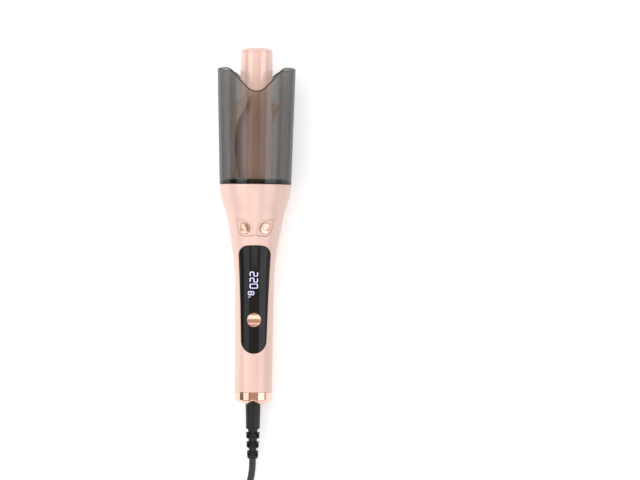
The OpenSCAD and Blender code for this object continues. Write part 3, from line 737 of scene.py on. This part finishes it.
def circle(cx, cy, r, n=48, clockwise=False):
    a = ring_angles(n) * (-1 if clockwise else 1)
    return columns(cx + r * np.cos(a), cy + r * np.sin(a))


def turn_matrix(axis, degrees):
    return np.array(Matrix.Rotation(math.radians(degrees), 4, axis))


def shift_matrix(x, y, z):
    return np.array(Matrix.Translation((x, y, z)))


POWER_Z, POWER_R = 70.6, 6.05
CURL_Z, CURL_PITCH, CURL_R, CURL_RING = 150.2, 18.3, 4.7, 0.35


def at_curl(side):
    slope = math.degrees(math.atan((grip_r(CURL_Z + 1) - grip_r(CURL_Z - 1)) / 2))
    yaw = math.degrees(math.asin(CURL_PITCH / 2 / grip_r(CURL_Z)))
    out = shift_matrix(0, -float(grip_r(CURL_Z)), CURL_Z)
    return turn_matrix("Z", side * yaw) @ out @ turn_matrix("X", 90 + slope)


AT_POWER = shift_matrix(0, -float(grip_r(POWER_Z)), POWER_Z) @ turn_matrix("X", 90)


def on_grip(loop, place, inset=0.0):
    """A loop drawn in a button's own plane, as (angle, height) where its walls meet the grip's surface."""
    out = []
    for u, v in loop:
        low, high = -9.0, 8.0
        for _ in range(40):
            mid = (low + high) / 2
            p = place @ [u, v, mid, 1]
            if math.hypot(p[0], p[1]) > grip_r(p[2]) - inset:
                high = mid
            else:
                low = mid
        out.append((math.atan2(p[0], -p[1]), p[2]))
    return np.array(out)


# A leaf-shaped bezel: the radius of its round sides, its two points, and how deep it lies in the grip
LEAF_R, LEAF_TIPS, BEZEL_DEEP = 7.1, ((9, 7.9), (-7.9, -6.5)), 0.6


def leaf_loop(side, grow=0.0):
    high, low = LEAF_TIPS
    loop = np.array([high, *arc(0, 0, LEAF_R, 95, 175, 14), low, *arc(0, 0, LEAF_R, 275, 355, 14)])
    return offset_loop(resample((loop * [side, 1])[::side], 0.8), grow)


# --- handle shells
SEAM_GAP, WALL, SLANT = 0.07, 2.2, 11 / 24


def seam_angle(z, gap):
    z = np.asarray(z, float)
    forward = np.maximum(0, z - CREASE_Z) * SLANT
    return np.arccos(forward / body_r(z)) - gap / body_r(z)


def shell_edges(gap):
    low, high = np.arange(COLLAR_TOP + 0.12, CREASE_Z, 2.0), np.arange(CREASE_Z, HEAD_Z - 0.2, 0.8)
    heights = np.concatenate([low, high, [HEAD_Z]])
    return heights, seam_angle(heights, gap)


def shell_outline(left, right, z):
    """Once round a shell: along its foot, up its right edge, back along its head, down its left edge."""
    foot = np.linspace(left[0], right[0], 40)[1:-1]
    head = np.linspace(right[-1], left[-1], 60)[1:-1]
    sides = columns(right, z), columns(left, z)[::-1]
    return np.concatenate([columns(foot, z[0]), sides[0], columns(head, HEAD_Z), sides[1]])


# Screw holes in the rear shell: sideways place and height, their radius and their cup's outer radius
SCREWS_AT, SCREW_R, CUP_R = [(0, 34), (-9.5, 130), (9.5, 130)], 2.8, 3.3


def front_loops():
    z, a = shell_edges(SEAM_GAP)
    leaves = [on_grip(leaf_loop(side, 0.13), at_curl(side))[::-1] for side in (-1, 1)]
    return [shell_outline(-a, a, z), wrapped(window_loop(0.09), body_r)[::-1]] + leaves


def rear_loops():
    z, a = shell_edges(-SEAM_GAP)
    holes = [wrapped(circle(x, h, SCREW_R, 32), body_r, False) for x, h in SCREWS_AT]
    return [shell_outline(a, 2 * math.pi - a, z)] + holes


def make_shells():
    skin = Round(body_r)
    front = Shape()
    front.skin(skin, front_loops(), WALL, 0.28, step=2.2)
    front.object("front_shell_skin", rose_shell, replaces=["front_shell"], slot="rose_shell")
    rear = Shape()
    rear.skin(skin, rear_loops(), WALL, 0.28, step=2.4)
    for x, h in SCREWS_AT:
        deep = math.sqrt(float(grip_r(h)) ** 2 - x * x)
        floor, mouth = deep - 6, deep - 1.2
        outside = [(0, floor - 1), (CUP_R, floor - 1), (CUP_R, mouth)]
        inside_wall = [(SCREW_R, mouth), (SCREW_R, floor), (0, floor)]
        rear.lathe(outside + inside_wall, 32, shift_matrix(x, 0, h) @ turn_matrix("X", -90))
    rear.object("rear_shell_skin", rose_shell, replaces=["rear_shell"], slot="rose_shell")


make_shells()


# --- window, digits and buttons
def make_window():
    panel = Shape()
    loops = window_loop(-0.03), circle(0, POWER_Z, POWER_R + 0.2, 56, True)
    panel.skin(Round(grip_r), [wrapped(loop, body_r) for loop in loops], 1.38, 0.32, step=1.8)
    panel.object("gloss_window", black_gloss, replaces=["display_window"], slot="black_gloss")


SEGMENTS = {
    "a": ((0, 1), (1, 1)), "b": ((1, 1), (1, 0.5)), "c": ((1, 0.5), (1, 0)), "d": ((0, 0), (1, 0)),
    "e": ((0, 0.5), (0, 0)), "f": ((0, 1), (0, 0.5)), "g": ((0, 0.5), (1, 0.5)),
}
LIT = {"2": "abged", "0": "abcdef", "8": "abcdefg", "5": "afgcd"}
# Each glyph: its sign, its foot's place sideways, its start along the handle, its height, its width and
# the width of its bars
GLYPHS = [
    ("2", -3.7, 112.2, 6.4, 3.5, 0.85), ("2", -3.7, 107.0, 6.4, 3.5, 0.85),
    ("0", -3.7, 101.8, 6.4, 3.5, 0.85), ("8", -5.1, 95.3, 4.7, 2.9, 0.7), ("5", -5.1, 91.1, 1.7, 1.0, 0.3),
]


def segment_loop(a, b, width):
    """One bar of a digit, with pointed ends that leave a hairline to the next bar."""
    a, b = np.array(a, float), np.array(b, float)
    d = unit(b - a)
    n = np.array([-d[1], d[0]]) * width / 2
    a, b = a + d * 0.06, b - d * 0.06
    i, j = a + d * width * 0.42, b - d * width * 0.42
    return np.array([a, i - n, j - n, b, j + n, i + n])


def make_digits():
    """Numbers that read down the handle, with their tops to the right."""
    shape = Shape()
    surface = Round(grip_r, 0.03)
    for sign, foot, start, tall, wide, bar in GLYPHS:
        for name in LIT[sign]:
            ends = [(foot + v * tall, start - u * wide) for u, v in SEGMENTS[name]]
            loop = segment_loop(*ends, bar)
            area = sum(a[0] * b[1] - b[0] * a[1] for a, b in zip(loop, np.roll(loop, -1, 0)))
            loop = loop if area > 0 else loop[::-1]
            shape.skin(surface, [wrapped(loop, body_r)], 0.12, 0.02, step=3, rows=2)
    shape.object("display_digits", digits_lit, slot="black_gloss")


def key_top(shape, place, height, radius, fillet, side, rings=14, segments=72):
    """A round key with a shaped top: height gives the top's height at (u, v) in its own plane."""
    angles = ring_angles(segments)
    co, si = np.cos(angles), np.sin(angles)
    plane, turn = Facet(height, place), place[:3, :3].T
    flat = radius - fillet
    rows, normals = [], []
    for r in np.linspace(flat / rings, flat, rings):
        at = columns(r * co, r * si)
        rows.append(plane.point(at, 0))
        normals.append(plane.axes(at)[0])
    edge = height(flat * co, flat * si)
    for t in np.linspace(0, math.pi / 2, 5)[1:]:
        r = flat + fillet * math.sin(t)
        rows.append(moved(columns(r * co, r * si, edge - fillet * (1 - math.cos(t))), place))
        normals.append(columns(co * math.sin(t), si * math.sin(t), math.cos(t)) @ turn)
    rows.append(moved(columns(radius * co, radius * si, side), place))
    normals.append(columns(co, si, 0) @ turn)
    ids = shape.grid(rows, normals)
    up = place[:3, 2]
    shape.fan(plane.point(np.zeros((1, 2)), 0)[0], ids[0], up, normals[0])
    shape.fan(moved([[0, 0, side]], place)[0], ids[-1][::-1], -up, [-up] * segments)


def soft_min(a, b, k):
    h = np.clip(0.5 + 0.5 * (b - a) / k, 0, 1)
    return b * (1 - h) + a * h - k * h * (1 - h)


def power_top(u, v):
    scoop = 11.6 - np.sqrt(11.8 ** 2 - v * v)
    return soft_min(scoop, np.full_like(v, 0.48), 0.12)


def make_power_button():
    shape = Shape()
    key_top(shape, AT_POWER, power_top, POWER_R, 0.3, -3.0)
    stem = [(0, -4.4), (1.5, -4.4), (1.5, -3.9)]
    shape.lathe(stem + [(6.9, -3.9), (6.9, -3.2), (5.9, -3.2), (5.9, -2.9), (0, -2.9)], 48, AT_POWER)
    shape.object("power_key", key_metal, "power_key", ["power_button"], "rose_metal")


DISH, DISH_R = 0.6, 4.3


def curl_top(u, v):
    r = np.minimum(np.hypot(u, v), DISH_R)
    return 0.25 - DISH * (1 - (r / DISH_R) ** 2)


def arrow_loops(side):
    """A round arrow that turns with the hair's winding: an open ring with a pointed head, round a drop."""
    outer, inner, start, end, barb = 2.35, 1.95, 60, 320, 0.6
    ring = arc(0, 0, outer, start, end, 26) + arc(0, 0, inner, end, start, 26)
    corners = (outer + barb, end), ((outer + inner) / 2, end + 34), (inner - barb, end)
    head = [(r * math.cos(math.radians(a)), r * math.sin(math.radians(a))) for r, a in corners]
    loops = [np.array(ring), np.array(head), np.array(arc(0, 0, 0.45, 0, 345, 15))]
    if side < 0:
        loops = [(l * [-1, 1])[::-1] for l in loops]
    return loops


def make_curl_button(side, name, body, node):
    place = at_curl(side)
    shape = Shape()
    key_top(shape, place, curl_top, CURL_R, 0.28, -2.9)
    shape.lathe([(0, -4.66), (1, -4.66), (1, -3.4), (5.5, -3.4), (5.5, -2.8), (0, -2.8)], 48, place)
    shape.object(name, key_metal, body, [node], "rose_metal")
    icon = Shape()
    dish = Facet(lambda u, v: curl_top(u, v) + 0.03, place)
    for loop in arrow_loops(side):
        icon.skin(dish, [resample(loop, 0.3)], 0.12, 0.02, step=1, rows=2)
    icon.object(name + "_arrow", icon_brown, body, slot="rose_metal")


def make_bezels():
    shape = Shape()
    for side in (-1, 1):
        loops = leaf_loop(side, -0.1), circle(0, 0, CURL_R + CURL_RING, 48, True)
        loops = [on_grip(loop, at_curl(side), BEZEL_DEEP) for loop in loops]
        shape.skin(Round(grip_r, -BEZEL_DEEP), loops, 1.2, 0.16, step=1.5)
    shape.object("leaf_bezels", rotor_rose, replaces=["button_bezels"], slot="rose_shell")
    wells = Shape()
    for side in (-1, 1):
        wells.lathe([(5.0, -4.2), (6.2, -4.2), (6.2, -1.9), (5.0, -1.9)], 48, at_curl(side), closed=True)
    wells.lathe([(6.3, -4.2), (7.4, -4.2), (7.4, -1.9), (6.3, -1.6)], 48, AT_POWER, closed=True)
    wells.object("key_wells", gap_black, slot="dark_plastic")


make_window()
make_digits()
make_bezels()
make_power_button()
make_curl_button(-1, "left_curl_key", "left_key", "left_button")
make_curl_button(1, "right_curl_key", "right_key", "right_button")


# --- guard
GUARD_WALL, GUARD_MID_R, VALLEY_Z, VALLEY_R, FLANK, LOBE_R = 2.0, 32.5, 80.7, 11, 47, 9.75
SLOT_Z, SLOT_HALF, SLOT_MOUTH, SLOT_LOBE = 23, 8.2, 10, 17


def guard_loops():
    """The guard's foot and its rim, each once round the tool, split at the middle of the rear slot."""
    rise, sine = 1 - math.cos(math.radians(FLANK)), math.sin(math.radians(FLANK))
    climb = GUARD_LEN - VALLEY_Z - (LOBE_R + VALLEY_R) * rise
    lobe_x = (VALLEY_R + LOBE_R) * sine + climb / math.tan(math.radians(FLANK))
    front = arc(lobe_x, GUARD_TOP - LOBE_R, LOBE_R, 90, 90 + FLANK, 12)
    front += arc(0, HEAD_Z + VALLEY_Z + VALLEY_R, VALLEY_R, FLANK - 90, -90, 12)
    rear = arc(0, HEAD_Z + SLOT_Z + SLOT_HALF, SLOT_HALF, -90, 0, 18)
    rear += arc(SLOT_MOUTH + SLOT_LOBE, GUARD_TOP - SLOT_LOBE, SLOT_LOBE, 180, 90, 22)
    front, rear = wrapped(front, guard_r), wrapped(rear, guard_r, False)
    crest = np.linspace(rear[-1, 0], front[0, 0], 16)[1:-1]
    line = np.concatenate([rear, columns(crest, GUARD_TOP), front])
    # evenly spaced along the edge, from the slot's middle to the valley's middle
    steps = np.linalg.norm(np.diff(line, axis=0) * [GUARD_MID_R, 1], axis=1)
    along = np.concatenate([[0], np.cumsum(steps)])
    at = np.linspace(0, along[-1], int(along[-1] / 0.9))
    line = columns(*(np.interp(at, along, line[:, k]) for k in (0, 1)))
    foot = columns(np.linspace(-math.pi, math.pi, 145)[:-1], HEAD_Z)
    return [foot, np.concatenate([line, line[-2:0:-1] * [-1, 1]])]


def make_guard():
    shape = Shape()
    loops = guard_loops()
    shape.skin(Round(guard_r), loops, GUARD_WALL, 0.95, 0.9, step=2.6, rows=5, ring=True, rim_tag=1)
    shape.object("smoked_guard_wall", [smoke, smoke_rim], replaces=["smoked_guard"], slot="smoked_clear")
    flange = [(25.6, HEAD_Z), (29.3, HEAD_Z), (29.3, FLANGE_TOP), (25.6, FLANGE_TOP)]
    turned("smoked_guard_flange", smoke, flange, 144, slot="smoked_clear")


# --- barrel, cap and rotor
BARREL_R, BARREL_TOP, CAP_BORE = 14.0, 304.7, 12.5
# The cap's domed edge: radius, and height above the barrel's top
CAP_DOME = [(13.93, -0.25), (13.7, 1.2), (12.6, 2.1), (10.5, 2.8), (7.5, 3.2), (4.5, 3.3)]


def cap_groove(r, z, angles):
    """How deep the cap's face is pressed down: six fine radial grooves."""
    off = np.abs((angles + math.pi / 6) % (math.pi / 3) - math.pi / 6)
    return 0.35 * np.exp(-((off * r / 0.28) ** 2)) * (5.2 < r < 12.0 and z > BARREL_TOP + 1)


def make_barrel():
    low, high = 186.5, BARREL_TOP - 0.35
    wall = [(CAP_BORE, low), (BARREL_R, low), (BARREL_R, high), (CAP_BORE, high)]
    turned("barrel_sleeve", barrel_coat, wall, 160, [0, 0, 0.25, 0], replaces=["heating_barrel"],
           slot="barrel_coat")
    sleeve_r, low, floor = CAP_BORE - 0.02, 299, 303
    dome = catmull([(r, BARREL_TOP + up) for r, up in CAP_DOME], 4)
    cap = Shape()
    cap.lathe([
        (0, low), (sleeve_r, low), (sleeve_r, BARREL_TOP - 0.3), *dome, (4.0, BARREL_TOP + 3.0), (4.0, floor),
        (0, floor),
    ], 180, soft=37, sunk=cap_groove)
    cap.object("barrel_cap", barrel_coat, replaces=["tip_cap"], slot="barrel_coat")


# The rotor's horned rim and the edges of its open side: sideways place, and height above its base
ROTOR_R, ROTOR_WALL = 21.0, 1.8
FRONT_EDGE = [(-16.1, -1), (-18.4, 16.6), (-19.2, 31), (-17.6, 47), (-11.1, 60), (-6.6, 70.5)]
FRONT_RIM = [(-6.2, 71.8), (-7, 72.4), (-10, 71), (-14.6, 68.6), (-21.5, 65)]
REAR_EDGE = [(10.5, -1), (10.5, 36), (11.6, 44), (16.6, 51.5), (20.2, 60), (21.6, 69)]
REAR_RIM = [(14, 67.2), (0, 65.2), (-14, 64.8), (-21.5, 65)]


def rotor_loop():
    """Once round the rotor's sheet: its foot, up the front edge, back along the rim, down the rear edge."""
    front = np.concatenate([catmull(FRONT_EDGE, 10), catmull(FRONT_RIM, 8)])
    rear = np.concatenate([catmull(REAR_RIM, 10)[::-1], catmull(REAR_EDGE, 10)[::-1]])
    bend = [np.arcsin(np.clip(line[:, 0] / ROTOR_R, -1, 1)) for line in (front, rear)]
    side = np.concatenate([columns(bend[0], front[:, 1]), columns(-math.pi - bend[1], rear[:, 1])])
    foot = columns(np.linspace(side[-1, 0], side[0, 0], 50)[1:-1], -1)
    loop = np.concatenate([foot, side]) * [ROTOR_R, 1]
    gaps = np.linalg.norm(loop - np.roll(loop, 1, 0), axis=1)
    return resample(loop[gaps > 0.15], 1.0) / [ROTOR_R, 1] + [0, ROTOR_Z]


def make_rotor():
    sheet = Shape()
    sheet.skin(Round(lambda v: ROTOR_R + 0 * v), [rotor_loop()], ROTOR_WALL, 0.6, 0.6, step=2.0, rows=4)
    sheet.object("rotor_sheet", rotor_rose, "rotor_set", ["rotor"], "rose_shell")
    low, step = 184.6, 192.3
    turned("rotor_base", rotor_rose, [
        (16.5, low), (18.8, low), (18.8, step), (ROTOR_R, step), (ROTOR_R, ROTOR_Z), (15.2, ROTOR_Z),
        (15.2, step), (16.5, step),
    ], 144, [0, 0.3, 0.2, 0.25, 0.3, 0.2, 0, 0], body="rotor_set", slot="rose_shell")


make_guard()
make_barrel()
make_rotor()


# --- tail: collar and boot
def make_collar():
    turned("end_collar_ring", plating, [
        (6.65, 2.5), (6.65, COLLAR_Z), (8.4, COLLAR_Z), (12, -2.3), (15, -0.8), (16.1, 0),
        (TAIL_R, COLLAR_EDGE), (TAIL_R, COLLAR_TOP), (14.1, COLLAR_TOP), (14.1, 11), (12.5, 11), (12.5, 2.5),
    ], 192, [0, 0.3, 0.6, 4, 4, 0.7, 0.7, 0.25, 0, 0, 0, 0], 30, replaces=["end_collar"], slot="rose_metal")


BOOT_END, BOOT_R, BOOT_TIP_R, BOOT_BORE = -51.0, 6.55, 4.6, 3.2
# Flex windows, in pairs on opposite sides: middle height, and the way they face (0 sideways, 1 up and down)
BOOT_WINDOWS = [(-26.2 - 4.1 * i, i % 2) for i in range(6)]
WINDOW_TALL, WINDOW_SPAN, WINDOW_DEEP = 3.3, math.radians(80), 1.9


def boot_r(z):
    return np.interp(z, [BOOT_END, -27, COLLAR_Z], [BOOT_TIP_R, 6.05, BOOT_R])


def boot_sink(z, angle):
    """How deep soft-edged crescents cut the boot's surface at a height and an angle from the front."""
    total = np.zeros_like(angle)
    for middle, turned in BOOT_WINDOWS:
        facing = np.abs(np.arcsin(np.clip(np.cos(angle) if turned else np.sin(angle), -1, 1)))
        away = (math.pi / 2 - facing) / WINDOW_SPAN
        shrink = boot_r(middle) / BOOT_R
        droop = 2.2 * away ** 2 * shrink
        half = WINDOW_TALL / 2 * shrink * np.sqrt(np.clip(1 - away ** 2, 0, 1))
        d = half - np.abs(z - middle + droop)
        total = np.maximum(total, np.where(half > 0, np.clip(d / 0.35 + 0.5, 0, 1), 0))
    return WINDOW_DEEP * total * total * (3 - 2 * total)


def make_boot():
    angles = ring_angles(200)
    co, si = np.cos(angles), np.sin(angles)
    heights = np.concatenate([
        np.linspace(2.5, -19, 12), np.arange(-19.3, BOOT_END + 0.8, -0.22),
        np.linspace(BOOT_END + 0.6, BOOT_END + 0.1, 4),
    ])
    past = 1 - np.clip((heights - BOOT_END) / 0.8, 0, 1)
    lip = boot_r(heights) - 0.8 * (1 - np.sqrt(1 - past ** 2))
    radii = np.array([r - boot_sink(z, angles) for r, z in zip(lip, heights)])
    points = [columns(r * si, -r * co, z) for r, z in zip(radii, heights)]
    dz = np.gradient(radii, heights, axis=0)
    da = (np.roll(radii, -1, 1) - np.roll(radii, 1, 1)) / (2 * (angles[1] - angles[0])) / radii
    out, across = columns(si, -co, 0), columns(co, si, 0)
    normals = [unit(out - across * a[:, None] - columns(0, 0, d)) for a, d in zip(da, dz)]
    shape = Shape()
    ids = shape.grid(points, normals)
    bores = [columns(BOOT_BORE * si, -BOOT_BORE * co, z) for z in (BOOT_END + 0.1, 2.5)]
    bore = shape.grid(bores, [-out, -out])
    down = np.tile([0.0, 0.0, -1.0], (len(angles), 1))
    shape.strip(ids[-1], bore[0], down, down)
    shape.strip(bore[1], ids[0], -down, -down)
    shape.object("cord_boot", boot_rubber, "cord_swivel", ["strain_relief"], "black_rubber")


make_collar()
make_boot()


# --- tie, plug and pins, in the row's frame
HANK_R, HANK_LOW, HANK_TALL = 33, 1, 12
TIE_X, TIE_WIDE = HANK_X - 44, 12
PLUG_X, PLUG_Z, NECK_LEN = -341, HANK_LOW + HANK_TALL, 14
PLUG_LONG, PLUG_TALL = 35.3, 13.7
PLUG_MID, FACE_X = PLUG_Z + PLUG_TALL / 2, PLUG_X - NECK_LEN
PIN_R, PIN_GAP, PIN_LONG = 2.0, 19.0, 19.0
# The plug's body: distance from its cord side, half-width, half-height and the power of its section
SHOULDERS = [
    (0, 6.4, 5.3, 2.2), (1.2, 8.4, 6.1, 2.6), (3, 10.4, 6.5, 3), (6, 13.2, 6.75, 3.6), (9, 15.8, 6.8, 4.2),
    (12, 17.4, 6.8, 4.8), (15, 17.6, 6.8, 5), (24, 17.6, 6.8, 5), (31, 17.5, 6.8, 5), (33.4, 16.4, 6.75, 4.6),
    (34.6, 15.2, 6.5, 4.2), (PLUG_LONG, 13.9, 6.0, 4),
]


def ribbon(shape, path, normals, half_wide, middle, thick):
    """A flat band with soft edges along a closed path of (y, z), half_wide to each side of an x."""
    edge, drop = 0.25, 0.2
    section = [(-half_wide, 0, -1), (-half_wide + edge, 1, 0), (half_wide - edge, 1, 0), (half_wide, 0, 1)]
    ids, leans = [], []
    for up in (1, -1):
        for x, flat, side in section[::up]:
            line = path + normals * up * (thick / 2 - (0 if flat else drop))
            ids.append(shape.add(columns(middle + x, *line.T)))
            leans.append(unit(columns(side, *(normals.T * up * (1 if flat else 0.3)))))
    for k in range(len(ids)):
        j = (k + 1) % len(ids)
        shape.strip(ids[j], ids[k], leans[j], leans[k])


def make_tie():
    """A woven strap round the hank."""
    corner, low, top = 4.5, 0.5, HANK_LOW + HANK_TALL + 0.5
    right, up, down = HANK_R - corner, top - corner, low + corner
    loop = resample(np.array(
        arc(right, down, corner, -90, 0, 8) + arc(right, up, corner, 0, 90, 8)
        + arc(-right, up, corner, 90, 180, 8) + arc(-right, down, corner, 180, 270, 8)
    ), 2.0)
    along = unit(np.roll(loop, -1, 0) - np.roll(loop, 1, 0))
    normals = columns(along[:, 1], -along[:, 0])
    wobble = 0.12 * np.sin(loop[:, :1] * 0.7) * (loop[:, 1:] > 3)
    shape = Shape()
    ribbon(shape, loop + normals * wobble, normals, TIE_WIDE / 2, TIE_X, 0.9)
    shape.object("cord_strap", strap, replaces=["cord_tie"], slot="dark_plastic", in_row=True)


def lofted(shape, stations, segments=96):
    """A closed body through superellipse sections: each station is x, y half-width, z half-height, power."""
    a = ring_angles(segments)
    c, s = np.cos(a), np.sin(a)
    rings = []
    for x, wide, tall, power in stations:
        y, z = (half * np.sign(w) * np.abs(w) ** (2 / power) for half, w in ((wide, c), (tall, s)))
        rings.append(columns(x, y, z + PLUG_MID))
    rings = np.array(rings)
    normals = unit(np.cross(np.gradient(rings, axis=0), np.roll(rings, -1, 1) - np.roll(rings, 1, 1)))
    ids = shape.grid(rings, normals)
    for ring, points, sign in ((ids[0], rings[0], 1.0), (ids[-1][::-1], rings[-1], -1.0)):
        n = np.array([sign, 0, 0])
        shape.fan(points.mean(0), ring, n, [n] * segments)


def plug_stations():
    """The plug's sections, from the cord's end: a ribbed neck, then the body with its shoulders."""
    stations = [(PLUG_X, 3.4, 3.4, 2), (PLUG_X - 0.3, 4.0, 4.0, 2)]
    for x in np.arange(1.0, NECK_LEN - 0.5, 0.35):
        ridge = 0.55 * (0.5 + 0.5 * math.tanh(6 * math.sin(2 * math.pi * x / 2.8)))
        r = 4.15 + 1.3 * x / NECK_LEN - ridge * (x < NECK_LEN - 2)
        stations.append((PLUG_X - x, r, min(r, PLUG_TALL / 2 - 0.5), 2))
    for x, wide, tall, power in catmull(SHOULDERS, 5):
        stations.append((FACE_X - x, wide, min(tall, PLUG_TALL / 2), power))
    return stations


def make_plug():
    body = Shape()
    lofted(body, plug_stations())
    body.object("plug_moulding", plug_plastic, replaces=["plug_body"], slot="black_rubber", in_row=True)
    pins, sleeves = Shape(), Shape()
    pin = rounded([(0, -3), (PIN_R, -3), (PIN_R, PIN_LONG), (0, PIN_LONG)], [0, 0, 1.1, 0])
    low, mid, high = PIN_R + 0.02, PIN_R + 0.6, PIN_R + 0.9
    collar = [(low, -2), (high, -2), (high, 0.45), (mid, 0.7), (low, 0.7)]
    for side in (-1, 1):
        place = shift_matrix(FACE_X - PLUG_LONG, side * PIN_GAP / 2, PLUG_MID) @ turn_matrix("Y", -90)
        pins.lathe(pin, 48, place)
        sleeves.lathe(collar, 48, place, closed=True)
    pins.object("plug_pin_pair", pin_nickel, replaces=["plug_pins"], slot="brass", in_row=True)
    sleeves.object("plug_pin_collars", plug_plastic, slot="black_rubber", in_row=True)
    return [bpy.data.objects[n] for n in ("plug_moulding", "plug_pin_pair", "plug_pin_collars", "cord_strap")]


make_tie()
on_cord = make_plug()


# --- finishes of the CAD nodes that stay
NODE_LOOKS = [
    (dark_plastic, "chamber_floor home_sensor thermal_fuse display_module power_switch"),
    (dark_plastic, "curl_switches board_chips"),
    (steel, "floor_screws tip_screw mount_screws shell_screws heater_clamps motor_plate motor motor_shaft"),
    (inner_plastic, "barrel_mount gearbox rotor_gear drive_pinion swivel_socket swivel_plug"),
    (inner_plastic, "ptc_element power_parts"),
    (brass, "cap_anchor contact_rings contact_springs thermistor"),
    (board, "switch_boards control_board power_board"),
    (copper_lead, "heater_leads motor_leads mains_leads"),
    (aluminium, "home_magnet"),
]


def finish_nodes():
    for material, names in NODE_LOOKS:
        for name in names.split():
            mesh = frame["nodes"][name].data
            if not mesh.materials:
                mesh.materials.append(material)
            for k in range(len(mesh.materials)):
                mesh.materials[k] = material


finish_nodes()


# --- studio
FLOOR_WIDE, FLOOR_TONE = 60.0, 0.78
FLOOR_GLOW, FAR_GLOW, FAR = 0.36, 0.95, (700.0, 4500.0)
WORLD_TONE, BACKDROP_TONE = 0.2, 0.96
MIDDLE = Vector((-0.01, 0, REST_H * MM))


def make_floor():
    """A wide pale sheet that glows more with distance, so that it runs into the backdrop."""
    half = FLOOR_WIDE / 2
    mesh = bpy.data.meshes.new("studio_floor")
    corners = [(-half, -half, 0), (half, -half, 0), (half, half, 0), (-half, half, 0)]
    mesh.from_pydata(corners, [], [(0, 1, 2, 3)])
    look = Look("studio_paper", (FLOOR_TONE,) * 3, 0.85)
    look.color(look.blend(look.noise(0.004, 2), (FLOOR_TONE * 0.995,) * 3, (FLOOR_TONE,) * 3))
    look.bump(look.noise(0.8, 2), 0.01)
    away = look.add("ShaderNodeVectorMath", {0: look.mm}, operation="LENGTH").outputs["Value"]
    glow = look.remap(away, *FAR, FLOOR_GLOW, FAR_GLOW)
    look.feed(look.shader, {"Emission Color": (1, 1, 1, 1), "Emission Strength": glow})
    mesh.materials.append(look.material)
    linked("studio_floor", mesh)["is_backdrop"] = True


def softbox(name, low, high, radiance, far=1.2, length=2.6, lengthwise=False, gloss=True, soft=True,
            warm=(1, 1, 1)):
    """A box that spans two angles from straight above: towards -Y where positive, or with lengthwise
    towards the tip. gloss and soft say whether reflections and matt surfaces take its light."""
    a, half = math.radians((low + high) / 2), math.radians(abs(high - low) / 2)
    width = 2 * far * math.tan(half)
    data = bpy.data.lights.new(name, "AREA")
    data.shape = "RECTANGLE"
    data.size, data.size_y = length, width
    data.energy = radiance * math.pi * width * length
    data.color = warm
    made = linked(name, data)
    aside, along = ((1, 0, 0), (0, 1, 0)) if lengthwise else ((0, -1, 0), (1, 0, 0))
    along, back = Vector(along), Vector(aside) * math.sin(a) + Vector((0, 0, math.cos(a)))
    made.matrix_world = homogeneous((along, back.cross(along), back), MIDDLE + back * far)
    made.visible_glossy, made.visible_diffuse, made.visible_camera = gloss, soft, False


def make_studio():
    world = bpy.data.worlds.new("studio")
    world.use_nodes = True
    tree = world.node_tree
    shade = tree.nodes["Background"]
    shade.inputs["Color"].default_value = (1, 1, 1, 1)
    path = tree.nodes.new("ShaderNodeLightPath")
    tone = tree.nodes.new("ShaderNodeMapRange")
    tone.inputs["To Min"].default_value, tone.inputs["To Max"].default_value = WORLD_TONE, BACKDROP_TONE
    tree.links.new(path.outputs["Is Camera Ray"], tone.inputs["Value"])
    tree.links.new(tone.outputs[0], shade.inputs["Strength"])
    bpy.context.scene.world = world
    # what the plating, the window and the guard reflect
    softbox("right_box", 30, 70, 1.5, soft=False)
    softbox("right_fill", 70, 104, 0.45, soft=False)
    softbox("left_strip", -62, -28, 1.15, soft=False)
    softbox("top_strip", -22, 27, 0.28, soft=False, warm=(1.0, 0.62, 0.45))
    softbox("tail_box", -62, -17, 1.1, length=0.7, lengthwise=True, soft=False)
    softbox("tip_box", 17, 50, 0.7, length=0.7, lengthwise=True, soft=False)
    # what lights the matt surfaces and the floor
    softbox("overhead", -64, 14, 1.75, 2.4, 5.0, gloss=False)
    softbox("side_fill", 20, 75, 0.6, 2.4, 5.0, gloss=False)
    bpy.context.scene.view_settings.view_transform = "Standard"


make_floor()
make_studio()


# --- sizes of the CAD and of the rebuilt scene; write_sizes does nothing with them
def write_sizes(low_high_pairs):
    import json


write_sizes({"cad": cad_box, "visual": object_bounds()})
